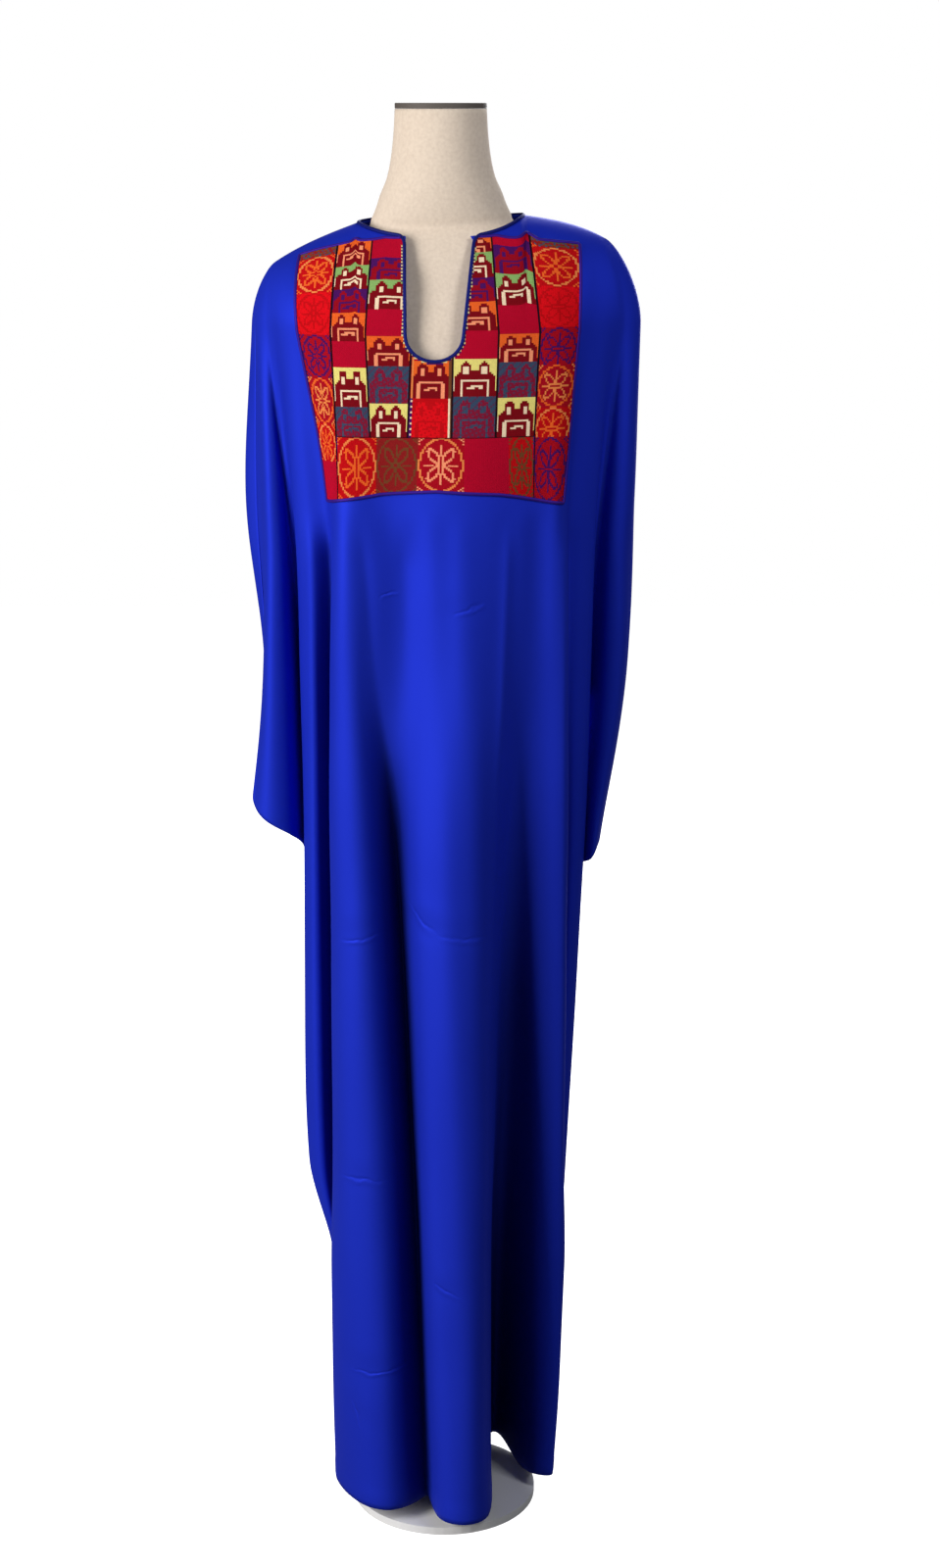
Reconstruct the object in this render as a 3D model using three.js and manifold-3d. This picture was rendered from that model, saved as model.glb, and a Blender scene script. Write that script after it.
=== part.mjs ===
// A full-length butterfly-sleeve abaya of satin crepe, with an embroidered patchwork yoke,
// standing on a limbless linen dress form with a round base. Lengths are in millimetres.
// +X is the right of the front view, the front faces -Y, +Z is up. The origin is the centre
// of the base's underside.
import * as THREE from 'three';
import Module from 'manifold-3d';

const wasm = await Module();
wasm.setup();
const { Manifold, CrossSection } = wasm;

// ---- driving sizes ----
const WALL = 1.5;                 // cloth
const SEAM = 0.3;                 // left between two sewn pieces
const YOKE_WALL = 1.0;            // patchwork lying on the front
const YOKE_LIFT = 0.6;            // between the front and the patchwork
const CORD_RADIUS = 1.4;          // piping round the yoke, binding round the neck
const NECK_HALF = 92;             // middle of the neck to the neck point
const TIP_X = 183;                // middle to the shoulder tip
const THREAD_X = 150;             // out to here the threads hang straight from the shoulder
const NECK_FRONT = { y: -64, z: 1539 };
const NECK_BACK = { y: 60, z: 1556 };
const SHOULDER = {                // neck point height, tip height, how much of the drop is even
  left: { neck: 1552, tip: 1510, even: 0.8 },
  right: { neck: 1560, tip: 1534, even: 0.5 },
};
const LEVELS = [1440, 1240, 1040, 830, 440, 310, 30];   // chest, bib, underarm, cuff, knee, shin, hem
const UNDERARM = LEVELS[2];
const HEM = LEVELS[6];
const CUFF = {                    // cuff height at the body side and at the outer ridge
  left: { inner: 812, outer: 904 },
  right: { inner: 800, outer: 846 },
};
const YOKE = { left: -151, right: 149, inLeft: -116, inRight: 107, top: 0.2, bib: 1328, bottom: 1252 };
const YOKE_TOP = [                // top edge of the patchwork: x, then grid row below the neckline or the shoulder
  [-151, 1], [-116, 1.25], [-100, 1.35], [-92, 1.1], [-85, 0.95], [-60, 0.42], [-38, 0.3], [36, 0.3], [60, 0.42], [85, 1],
  [92, 1], [99, 1.2], [107, 1.45], [149, 1.35],
];
const YOKE_RISE = [               // the foot curves up in the middle: x, then millimetres
  [-151, 0], [-116, 5], [-60, 14], [0, 18], [60, 14], [107, 5], [149, 0],
];
const SLIT = { left: -38, leftLow: -37, right: 36, rightLow: 24, round: 1437, top: 1542 };

// ---- folds of the cloth ----
// Each row is one thread line down the cloth: its x and its y at the seven levels.
const FRONT_FOLDS = [
  { name: 'left valley wall', x: [-184, -166, -156, -152, -150, -130, -118], y: [-44, -18, 16, 24, 26, 26, 26] },
  { name: 'left side fold', x: [-178, -168, -168, -168, -171, -138, -124], y: [-54, -36, -8, 6, 14, 16, 18] },
  { name: 'left side front', x: [-166, -152, -152, -154, -150, -130, -120], y: [-66, -54, -34, -16, -6, -2, 8] },
  { name: 'left tuck', x: [-154, -124, -122, -122, -124, -122, -116], y: [-74, -54, -36, -18, -4, 0, 8] },
  { name: 'left edge', x: [-142, -123, -128, -132, -136, -142, -144], y: [-82, -78, -60, -42, -24, -18, -4] },
  { name: 'left lobe side', x: [-120, -117, -121, -124, -124, -122, -114], y: [-92, -104, -88, -76, -64, -63, -62] },
  { name: 'left lobe front', x: [-98, -98, -100, -98, -92, -90, -84], y: [-98, -116, -106, -100, -100, -102, -108] },
  { name: 'left lobe right', x: [-74, -76, -84, -74, -62, -59, -52], y: [-102, -112, -98, -98, -106, -108, -112] },
  { name: 'left valley', x: [-50, -58, -66, -54, -38, -34, -28], y: [-105, -112, -90, -70, -72, -75, -84] },
  { name: 'centre lobe edge', x: [-26, -36, -46, -38, -26, -23, -18], y: [-106, -118, -104, -94, -92, -95, -106] },
  { name: 'centre lobe left', x: [-2, -8, -14, -12, -6, -5, -2], y: [-107, -124, -122, -124, -126, -129, -136] },
  { name: 'centre lobe front', x: [24, 22, 20, 20, 22, 23, 27], y: [-107, -126, -128, -132, -138, -140, -146] },
  { name: 'centre lobe right', x: [50, 50, 48, 50, 54, 56, 60], y: [-105, -121, -121, -120, -124, -125, -126] },
  { name: 'recess left wall', x: [70, 75, 70, 64, 60, 59, 59], y: [-101, -112, -108, -92, -72, -66, -52] },
  { name: 'recess left end', x: [90, 92, 84, 72, 58, 55, 50], y: [-96, -105, -95, -66, -14, 16, 94] },
  { name: 'recess right end', x: [108, 106, 98, 88, 78, 76, 72], y: [-91, -99, -89, -60, -6, 23, 96] },
  { name: 'recess right wall', x: [124, 118, 112, 106, 98, 95, 90], y: [-86, -96, -88, -68, -36, -24, 4] },
  { name: 'right lobe', x: [136, 130, 128, 126, 122, 119, 112], y: [-80, -94, -86, -72, -48, -40, -24] },
  { name: 'right edge', x: [149, 144, 147, 150, 152, 155, 143], y: [-72, -76, -70, -56, -36, -30, -16] },
  { name: 'right tuck', x: [159, 138, 138, 140, 134, 136, 124], y: [-62, -52, -44, -32, -14, -8, 4] },
  { name: 'right side front', x: [170, 160, 158, 156, 142, 137, 124], y: [-54, -46, -34, -24, 0, 5, 12] },
  { name: 'right side fold', x: [184, 179, 177, 170, 152, 144, 126], y: [-44, -32, -16, -4, 10, 14, 20] },
  { name: 'right valley wall', x: [194, 172, 162, 156, 140, 133, 116], y: [-34, -14, 14, 24, 28, 28, 28] },
];
const BACK_FOLDS = [
  { name: 'left valley wall', x: [-182, -166, -156, -152, -150, -130, -118], y: [56, 42, 24, 34, 38, 38, 38] },
  { name: 'left side fold', x: [-172, -168, -164, -160, -150, -136, -128], y: [70, 66, 56, 52, 54, 54, 52] },
  { name: 'left side back', x: [-152, -148, -146, -142, -136, -135, -132], y: [82, 86, 86, 84, 84, 84, 84] },
  { name: 'left valley', x: [-128, -126, -122, -114, -106, -104, -100], y: [90, 92, 86, 78, 72, 71, 68] },
  { name: 'left ridge', x: [-104, -102, -98, -90, -82, -80, -76], y: [95, 104, 108, 110, 114, 115, 118] },
  { name: 'left ridge right', x: [-80, -80, -76, -66, -56, -53, -48], y: [98, 108, 112, 118, 126, 129, 134] },
  { name: 'centre valley left', x: [-54, -56, -52, -44, -34, -31, -26], y: [100, 108, 104, 96, 88, 86, 82] },
  { name: 'centre valley right', x: [-28, -30, -28, -22, -14, -11, -6], y: [101, 108, 102, 92, 82, 79, 74] },
  { name: 'centre ridge', x: [0, -4, -4, 0, 6, 8, 14], y: [102, 110, 112, 112, 114, 115, 116] },
  { name: 'centre ridge right', x: [28, 24, 22, 26, 34, 37, 42], y: [101, 110, 116, 122, 130, 133, 138] },
  { name: 'right flat', x: [54, 52, 50, 54, 62, 65, 70], y: [99, 108, 112, 116, 124, 127, 134] },
  { name: 'right valley', x: [80, 80, 78, 82, 90, 92, 96], y: [97, 105, 100, 92, 92, 97, 112] },
  { name: 'right ridge', x: [106, 106, 106, 106, 108, 109, 112], y: [93, 100, 100, 98, 96, 99, 108] },
  { name: 'right side back', x: [134, 134, 134, 130, 126, 126, 126], y: [87, 90, 90, 88, 80, 80, 84] },
  { name: 'right side valley', x: [158, 156, 152, 142, 132, 129, 122], y: [78, 78, 72, 66, 58, 57, 56] },
  { name: 'right side fold', x: [178, 172, 166, 160, 146, 140, 126], y: [66, 62, 52, 48, 46, 46, 46] },
  { name: 'right valley wall', x: [192, 172, 162, 156, 140, 133, 116], y: [50, 40, 24, 34, 38, 38, 38] },
];
// The outer part of each sleeve, from the valley out to the ridge. Nothing hangs below the cuff.
const SLEEVE_FOLDS = {
  leftFront: [
    { name: 'wall', x: [-192, -178, -165, -162], y: [-34, -14, 16, 18] },
    { name: 'fold right', x: [-197, -180, -176, -174], y: [-30, -30, -20, -10] },
    { name: 'fold edge', x: [-203, -199, -204, -212], y: [-22, -34, -28, -18] },
    { name: 'fold outer', x: [-208, -204, -209, -230], y: [-10, -8, -4, -2] },
    { name: 'ridge', x: [-208, -210, -205, -231], y: [4, 6, 10, 12] },
  ],
  leftBack: [
    { name: 'wall', x: [-190, -178, -165, -162], y: [50, 44, 26, 26] },
    { name: 'fold right', x: [-197, -190, -182, -180], y: [46, 58, 54, 48] },
    { name: 'fold edge', x: [-209, -216, -200, -210], y: [38, 50, 48, 44] },
    { name: 'fold outer', x: [-216, -230, -208, -226], y: [22, 26, 28, 28] },
    { name: 'ridge', x: [-208, -210, -205, -231], y: [4, 6, 10, 12] },
  ],
  rightFront: [
    { name: 'wall', x: [202, 184, 174, 168], y: [-26, -10, 14, 18] },
    { name: 'fold left', x: [207, 190, 186, 173], y: [-24, -26, -18, -8] },
    { name: 'fold edge', x: [215, 208, 206, 178], y: [-18, -28, -22, -14] },
    { name: 'fold outer', x: [222, 218, 214, 183], y: [-8, -10, -6, -2] },
    { name: 'ridge', x: [223, 219, 212, 184], y: [4, 6, 10, 12] },
  ],
  rightBack: [
    { name: 'wall', x: [200, 184, 174, 168], y: [44, 42, 26, 26] },
    { name: 'fold left', x: [207, 196, 188, 174], y: [42, 54, 52, 46] },
    { name: 'fold edge', x: [217, 215, 206, 180], y: [34, 46, 46, 42] },
    { name: 'fold outer', x: [223, 221, 213, 185], y: [20, 24, 28, 28] },
    { name: 'ridge', x: [223, 219, 212, 184], y: [4, 6, 10, 12] },
  ],
};

// ---- the dress form: half width, depth to the front and to the back at each height ----
const FORM_TILT = 0.045;          // rise of the shoulders for each mm to the right
const FORM_RINGS = [
  { z: 1673.7, half: 50.5, front: 48, back: 48, tilt: 0 },
  { z: 1648, half: 52, front: 49, back: 49, tilt: 0 },
  { z: 1622, half: 55, front: 50, back: 50, tilt: 0.15 },
  { z: 1600, half: 60, front: 51, back: 52, tilt: 0.4 },
  { z: 1584, half: 67, front: 51, back: 53, tilt: 0.6 },
  { z: 1570, half: 72, front: 50, back: 52, tilt: 0.8 },
  { z: 1559, half: 77, front: 48, back: 50, tilt: 0.9 },
  { z: 1549, half: 82, front: 46, back: 49, tilt: 1 },
  { z: 1544.5, half: 100, front: 49, back: 48.5, tilt: 1 },
  { z: 1538.5, half: 124, front: 53, back: 52, tilt: 1 },
  { z: 1530, half: 147, front: 59, back: 59, tilt: 1 },
  { z: 1517, half: 162, front: 67, back: 66, tilt: 1 },
  { z: 1492, half: 168, front: 76, back: 73, tilt: 0.9 },
  { z: 1468, half: 168, front: 86, back: 80, tilt: 0.7 },
  { z: 1438, half: 164, front: 94, back: 86, tilt: 0.5 },
  { z: 1390, half: 156, front: 99, back: 88, tilt: 0.25 },
  { z: 1330, half: 146, front: 100, back: 87, tilt: 0 },
  { z: 1250, half: 132, front: 90, back: 80, tilt: 0 },
  { z: 1170, half: 120, front: 78, back: 72, tilt: 0 },
  { z: 1110, half: 117, front: 72, back: 70, tilt: 0 },
  { z: 1040, half: 122, front: 70, back: 72, tilt: 0 },
  { z: 980, half: 128, front: 66, back: 72, tilt: 0 },
  { z: 938, half: 129, front: 60, back: 68, tilt: 0 },
  { z: 922, half: 122, front: 54, back: 62, tilt: 0 },
];
const CAP = { z: 1674, height: 6, half: 50.5, depth: 48 };
const POLE_RADIUS = 16;
const BASE = { radius: 112, height: 10 };
const COLLAR = { radius: 30, height: 36 };

// ---- small helpers ----
const lerp = (a, b, t) => a + (b - a) * t;
const clamp = (v, a, b) => Math.min(b, Math.max(a, v));
const ease = (t) => t * t * (3 - 2 * t);
const sub = (a, b) => a.map((v, k) => v - b[k]);
const add = (a, b, t = 1) => a.map((v, k) => v + b[k] * t);
const cross = (a, b) => [a[1] * b[2] - a[2] * b[1], a[2] * b[0] - a[0] * b[2], a[0] * b[1] - a[1] * b[0]];
const unit = (a) => { const l = Math.hypot(...a) || 1; return a.map((v) => v / l); };
const mix = (a, b, t) => a.map((v, k) => lerp(v, b[k], t));

/** Value of a table row at height z: a smooth curve through the levels. */
function down(values, z) {
  const n = values.length - 1;
  const at = clamp(z, LEVELS[n], LEVELS[0]);
  let k = 0;
  while (k < n - 1 && at < LEVELS[k + 1]) k += 1;
  const slope = (i) => {
    const a = Math.max(i - 1, 0);
    const b = Math.min(i + 1, n);
    return (values[b] - values[a]) / (LEVELS[b] - LEVELS[a]);
  };
  const h = LEVELS[k + 1] - LEVELS[k];
  const f = (at - LEVELS[k]) / h;
  return (1 + 2 * f) * (1 - f) ** 2 * values[k] + f * (1 - f) ** 2 * h * slope(k)
    + f * f * (3 - 2 * f) * values[k + 1] + f * f * (f - 1) * h * slope(k + 1);
}

/** Soft curve through a row of control points that meets the first and the last. */
function soft(points, q) {
  const n = points.length;
  const get = (i) => {
    if (i < 0) return add(points[0].map((v) => 2 * v), points[1], -1);
    if (i > n - 1) return add(points[n - 1].map((v) => 2 * v), points[n - 2], -1);
    return points[i];
  };
  const i = clamp(Math.floor(q), 0, n - 2);
  const f = q - i;
  const w = [(1 - f) ** 3, 3 * f ** 3 - 6 * f ** 2 + 4, -3 * f ** 3 + 3 * f ** 2 + 3 * f + 1, f ** 3];
  return points[0].map((_, k) => w.reduce((s, v, j) => s + v * get(i + j - 1)[k], 0) / 6);
}

// ---- the line the cloth hangs from ----
/** Point of the neckline or shoulder seam at x, and the way the cloth leaves it. */
function hangPoint(x, facing) {
  const side = SHOULDER[x < 0 ? 'left' : 'right'];
  const sign = x < 0 ? -1 : 1;
  const a = Math.abs(x);
  if (a < NECK_HALF - 0.01) {
    const neck = facing < 0 ? NECK_FRONT : NECK_BACK;
    const t = a / NECK_HALF;
    const depth = Math.sqrt(1 - t * t);
    return {
      p: [x, neck.y * depth, lerp(neck.z, side.neck, t ** 3)],
      out: unit([0, facing * lerp(1, 0.62, depth), -lerp(0.12, 0.78, depth)]),
      reach: lerp(52, 30, depth),
    };
  }
  const f = (a - NECK_HALF) / (TIP_X - NECK_HALF);
  return {
    p: [x, 0, lerp(side.neck, side.tip, side.even * f + (1 - side.even) * f ** 3)],
    out: unit([sign * 0.9 * f ** 4, facing * (1 - f ** 6), -lerp(0.12, 0.55, f ** 3)]),
    reach: lerp(52, 18, f ** 2),
  };
}

// ---- thread lines of a panel ----
/**
 * A strip runs across a panel between two seams. Its controls are the table rows with the seam
 * point at one or both ends, and q counts along them.
 */
function makeStrip({ rows, first, last, facing, hangs, foot }) {
  const controls = (z) => {
    const list = rows.map((r) => [down(r.x, z), down(r.y, z), z]);
    if (first) list.unshift(first(z));
    if (last) list.push(last(z));
    return list;
  };
  const count = controls(LEVELS[0]).length;
  const isRidge = (q) => (q < 1e-6 && !first) || (q > count - 1 - 1e-6 && !last);
  const below = (q, z) => {
    const p = soft(controls(z), q);
    return isRidge(q) ? [p[0], p[1] + facing * SEAM / 2, p[2]] : p;
  };
  const above = (q, v) => {
    const top = hangPoint(hangs(q), facing);
    const chest = below(q, LEVELS[0]);
    const rise = unit(sub(chest, below(q, LEVELS[0] - 20)));
    const a = [top.p[0], top.p[1] + (top.p[1] === 0 ? facing * SEAM / 2 : 0), top.p[2]];
    const b = add(a, top.out, top.reach);
    const c = add(chest, rise, 0.42 * (a[2] - chest[2]));
    const u = 1 - v;
    return [0, 1, 2].map((k) => u ** 3 * a[k] + 3 * u * u * v * b[k] + 3 * u * v * v * c[k] + v ** 3 * chest[k]);
  };
  const point = (q, row) => {
    if (row.v !== undefined) return above(q, row.v);
    if (row.z !== undefined) return below(q, row.z);
    return below(q, lerp(UNDERARM, foot(q), row.f));
  };
  return { point, count, chestX: (q) => below(q, LEVELS[0])[0] };
}

/** The seam beside a valley: its bottom above the underarm, below it halfway to the other panel's edge. */
function seamPoint(own, across, other, facing) {
  const valley = (z, k) => 0.5 * (down(own[k], z) + down(across[k], z));
  return (z) => {
    if (z >= UNDERARM) return [valley(z, 'x'), valley(z, 'y'), z];
    const t = ease(clamp((UNDERARM - z) / 45, 0, 1));
    const x = lerp(valley(UNDERARM, 'x'), 0.5 * (down(own.x, z) + down(other.x, z)), t);
    const middle = 0.5 * (down(own.y, z) + down(other.y, z));
    return [x, lerp(valley(UNDERARM, 'y'), middle + facing * SEAM / 2, t), z];
  };
}

/** Where the thread at chest position x hangs from: straight above it, then gathered to the tip. */
function hangX(x, ridgeX) {
  const a = Math.abs(x);
  if (a <= THREAD_X) return x;
  return Math.sign(x) * lerp(THREAD_X, TIP_X, (a - THREAD_X) / (Math.abs(ridgeX) - THREAD_X));
}

/** The three strips of the front (facing -1) or of the back (facing 1). */
function panelStrips(facing) {
  const name = facing < 0 ? 'Front' : 'Back';
  const other = facing < 0 ? 'Back' : 'Front';
  const folds = facing < 0 ? FRONT_FOLDS : BACK_FOLDS;
  const far = facing < 0 ? BACK_FOLDS : FRONT_FOLDS;
  const strips = {};
  const body = makeStrip({
    rows: folds,
    first: seamPoint(folds[0], SLEEVE_FOLDS['left' + name][0], far[0], facing),
    last: seamPoint(folds.at(-1), SLEEVE_FOLDS['right' + name][0], far.at(-1), facing),
    facing,
    hangs: (q) => hangX(body.chestX(q), SLEEVE_FOLDS[body.chestX(q) < 0 ? 'leftFront' : 'rightFront'].at(-1).x[0]),
    foot: () => HEM,
  });
  strips.body = body;
  for (const side of ['left', 'right']) {
    const rows = SLEEVE_FOLDS[side + name];
    const edge = side === 'left' ? folds[0] : folds.at(-1);
    const seam = seamPoint(rows[0], edge, SLEEVE_FOLDS[side + other][0], facing);
    const ordered = side === 'left' ? [...rows].reverse() : rows;
    const n = ordered.length;
    const fromSeam = (q) => (side === 'left' ? 1 - q / n : q / n);
    const start = body.chestX(side === 'left' ? 0 : body.count - 1);
    const ridge = rows.at(-1).x[0];
    strips[side] = makeStrip({
      rows: ordered,
      first: side === 'right' ? seam : null,
      last: side === 'left' ? seam : null,
      facing,
      hangs: (q) => lerp(hangX(start, ridge), Math.sign(ridge) * TIP_X, fromSeam(q)),
      foot: (q) => lerp(CUFF[side].inner, CUFF[side].outer, fromSeam(q) ** 0.9),
    });
  }
  return strips;
}

// ---- sheets to solids ----
const TOP_ROWS = [0, YOKE.top, 0.42, 0.62, 0.82].map((v) => ({ v }));
const ARM_ROWS = [1440, 1412, 1384, 1356, YOKE.bib, 1290, YOKE.bottom, 1200, 1148, 1094, UNDERARM].map((z) => ({ z }));
const SLEEVE_ROWS = [0.2, 0.4, 0.6, 0.8, 1].map((f) => ({ f }));
const SKIRT_ROWS = [1012, 970, 910, 850, 780, 710, 640, 570, 500, 430, 360, 290, 215, 120, HEM].map((z) => ({ z }));

/** Whole numbers along a strip, with lines of their own at the given hanging positions. */
function threadLines(strip, wanted) {
  const special = wanted.map((x) => {
    let a = 0;
    let b = strip.count - 1;
    for (let k = 0; k < 50; k += 1) {
      const m = (a + b) / 2;
      if (strip.chestX(m) < x) a = m; else b = m;
    }
    return (a + b) / 2;
  });
  const plain = Array.from({ length: strip.count }, (_, i) => i)
    .filter((q) => special.every((s) => Math.abs(s - q) > 0.3));
  return [...plain, ...special].sort((a, b) => a - b);
}

const gridOf = (strip, lines, rows) => lines.map((q) => rows.map((row) => strip.point(q, row)));

/** Solid wall from grids that share points along their common edges. */
function wallSolid(grids, facing, wall) {
  const points = [];
  const ids = new Map();
  const idOf = (p) => {
    const key = p.map((v) => Math.round(v * 1000)).join();
    if (!ids.has(key)) { ids.set(key, points.length); points.push(p); }
    return ids.get(key);
  };
  const faces = [];
  for (const g of grids) {
    for (let i = 0; i + 1 < g.length; i += 1) {
      for (let j = 0; j + 1 < g[i].length; j += 1) {
        const c = [idOf(g[i][j]), idOf(g[i][j + 1]), idOf(g[i + 1][j + 1]), idOf(g[i + 1][j])];
        if (facing > 0) c.reverse();
        faces.push([c[0], c[1], c[2]], [c[0], c[2], c[3]]);
      }
    }
  }
  const sound = faces.filter(([a, b, c]) => a !== b && b !== c && c !== a);
  const normals = points.map(() => [0, 0, 0]);
  const edges = new Map();
  for (const [a, b, c] of sound) {
    const n = cross(sub(points[b], points[a]), sub(points[c], points[a]));
    for (const v of [a, b, c]) normals[v] = add(normals[v], n);
    for (const [s, t] of [[a, b], [b, c], [c, a]]) edges.set(s + '_' + t, [s, t]);
  }
  const rim = [...edges.values()].filter(([s, t]) => !edges.has(t + '_' + s));
  return { points, normals: normals.map(unit), faces: sound, rim, wall };
}

/** Points of the panel's sewn edges: outer ridges, shoulder seams and the seams under the arms. */
function seamKeys(grids) {
  const [left, body, right] = grids;
  const low = (line) => line.filter((p) => p[2] < UNDERARM - 1);
  const shoulder = grids.flat().map((line) => line[0]).filter((p) => Math.abs(p[0]) > NECK_HALF - 0.01);
  const keys = [...left[0], ...right.at(-1), ...low(left.at(-1)), ...low(right[0]),
    ...low(body[0]), ...low(body.at(-1)), ...shoulder];
  return new Set(keys.map((p) => p.map((v) => Math.round(v * 1000)).join()));
}

/** Turns the normals along the seams square to them, so that both panels end face to face. */
function squareSeams(sheet, keys) {
  sheet.points.forEach((p, v) => {
    if (!keys.has(p.map((c) => Math.round(c * 1000)).join())) return;
    const n = sheet.normals[v];
    sheet.normals[v] = unit([n[0], 0, n[2]]);
  });
}

function closeWall(sheet, outer, inner) {
  const n = sheet.points.length;
  const verts = [
    ...sheet.points.map((p, i) => add(p, sheet.normals[i], outer)),
    ...sheet.points.map((p, i) => add(p, sheet.normals[i], inner)),
  ];
  const tris = [
    ...sheet.faces,
    ...sheet.faces.map(([a, b, c]) => [c + n, b + n, a + n]),
    ...sheet.rim.flatMap(([s, t]) => [[t, s, s + n], [t, s + n, t + n]]),
  ];
  return solid(verts, tris);
}

function solid(verts, tris) {
  const mesh = new wasm.Mesh({
    numProp: 3,
    vertProperties: new Float32Array(verts.flat()),
    triVerts: new Uint32Array(tris.flat()),
  });
  return new Manifold(mesh);
}

// ---- panels ----
const front = panelStrips(-1);
const back = panelStrips(1);
const frontLines = threadLines(front.body,
  [YOKE.left, YOKE.inLeft, -NECK_HALF - 8, -NECK_HALF, -NECK_HALF + 7, -33, 14, NECK_HALF - 7, NECK_HALF, NECK_HALF + 7,
    YOKE.inRight, YOKE.right]);
const backLines = threadLines(back.body, [-NECK_HALF, NECK_HALF]);

function panelGrids(strips, bodyLines) {
  const arm = [...TOP_ROWS, ...ARM_ROWS];
  const sleeveLines = Array.from({ length: strips.left.count }, (_, i) => i);
  return [
    gridOf(strips.left, sleeveLines, [...arm, ...SLEEVE_ROWS]),
    gridOf(strips.body, bodyLines, [...arm, ...SKIRT_ROWS]),
    gridOf(strips.right, sleeveLines, [...arm, ...SLEEVE_ROWS]),
  ];
}

const frontGrids = panelGrids(front, frontLines);
const backGrids = panelGrids(back, backLines);
const frontSheet = wallSolid(frontGrids, -1);
const backSheet = wallSolid(backGrids, 1);
squareSeams(frontSheet, seamKeys(frontGrids));
squareSeams(backSheet, seamKeys(backGrids));

// ---- neck slit ----
/** Outline of the slit in the front view, wider by d all round. */
function slitOutline(d) {
  const cx = (SLIT.leftLow + SLIT.rightLow) / 2;
  const rx = (SLIT.rightLow - SLIT.leftLow) / 2 + d;
  const ry = 27 + d;
  const round = Array.from({ length: 13 }, (_, i) => {
    const a = Math.PI * (i / 12);
    return [cx - rx * Math.cos(a), SLIT.round - ry * Math.sin(a)];
  });
  const over = SLIT.top + 60;
  return [[SLIT.left - d, over], [SLIT.left - d, SLIT.top], ...round, [SLIT.right + d, SLIT.top], [SLIT.right + d, over]];
}

/** Prism along Y through the front over the slit. */
function slitCutter(d) {
  const shape = new CrossSection([slitOutline(d)], 'Positive');
  return shape.extrude(180).rotate([90, 0, 0]).translate([0, -20, 0]);
}

const frontPanel = closeWall(frontSheet, 0, -WALL).subtract(slitCutter(0));
const backPanel = closeWall(backSheet, 0, -WALL);

// ---- pieces that lie on the front ----
const body = frontGrids[1];
const bodyRows = [...TOP_ROWS, ...ARM_ROWS];
const normalAt = new Map(frontSheet.points.map((p, i) => [p.map((v) => Math.round(v * 1000)).join(), frontSheet.normals[i]]));
const bodyNormals = body.map((line) => line.map((p) => normalAt.get(p.map((v) => Math.round(v * 1000)).join())));

/** Point and normal of the front at a grid position that may lie between lines. */
function onGrid(i, j) {
  const a = clamp(Math.floor(i), 0, body.length - 2);
  const b = clamp(Math.floor(j), 0, body[0].length - 2);
  const across = (g) => mix(mix(g[a][b], g[a + 1][b], i - a), mix(g[a][b + 1], g[a + 1][b + 1], i - a), j - b);
  return { p: across(body), n: unit(across(bodyNormals)) };
}

const columnAt = (x) => frontLines.findIndex((q) => Math.abs(front.body.chestX(q) - x) < 0.01);
const rowOf = (z) => bodyRows.findIndex((row) => row.z === z);
const COLUMN = {
  left: columnAt(YOKE.left), inLeft: columnAt(YOKE.inLeft), slitLeft: columnAt(-33), slitRight: columnAt(14),
  inRight: columnAt(YOKE.inRight), right: columnAt(YOKE.right),
};
const ROW = { top: 1, chest: rowOf(1440), bib: rowOf(YOKE.bib), bottom: rowOf(YOKE.bottom) };

/** Value at x from a list of [x, value]. */
function along(list, x) {
  const k = clamp(list.findIndex(([at]) => at > x), 1, list.length - 1);
  const [a, b] = [list[k - 1], list[k]];
  return lerp(a[1], b[1], clamp((x - a[0]) / (b[0] - a[0]), 0, 1));
}

/** Grid row of the patchwork's top edge, and how far its foot is raised, at a line of the body. */
const topRow = (i) => along(YOKE_TOP, front.body.chestX(frontLines[i]));
const footRise = (i) => along(YOKE_RISE, front.body.chestX(frontLines[i]));

/** One patch of the yoke, between two lines and two rows, with how far each side is set in. */
function patch(c0, c1, r0, r1, inset) {
  const wide = (i, j) => Math.hypot(...sub(body[i + 1][j], body[i][j]));
  const high = (i, j) => Math.hypot(...sub(body[i][j + 1], body[i][j]));
  const place = (i, j) => {
    const near = Math.ceil(j);
    const across = (i === c0 ? inset.left / wide(c0, near) : 0) - (i === c1 ? inset.right / wide(c1 - 1, near) : 0);
    const foot = j === ROW.bottom ? footRise(i) : 0;
    const first = r0 === ROW.top ? topRow(i) + inset.top / high(i, Math.floor(topRow(i))) : r0;
    const next = r0 === ROW.top ? Math.max(1, first + 0.05) : r0 + 1;
    if (j === r0 && r0 !== ROW.top) return onGrid(i + across, r0 + inset.top / high(i, r0));
    if (j < r0 + 1) return onGrid(i + across, j === r0 ? first : next);
    return onGrid(i + across, j - (j === r1 ? (inset.bottom + foot) / high(i, r1 - 1) : 0));
  };
  const range = (a, b) => Array.from({ length: b - a + 1 }, (_, k) => a + k);
  const rows = range(r0, r1);
  if (r0 === ROW.top) rows.splice(1, 0, r0 + 0.5);
  const spots = range(c0, c1).map((i) => rows.map((j) => place(i, j)));
  const sheet = wallSolid([spots.map((line) => line.map((s) => s.p))], -1);
  const key = (p) => p.map((v) => Math.round(v * 1000)).join();
  const normals = new Map(spots.flat().map((s) => [key(s.p), s.n]));
  sheet.normals = sheet.points.map((p) => normals.get(key(p)));
  return closeWall(sheet, YOKE_LIFT + YOKE_WALL, YOKE_LIFT);
}

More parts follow.
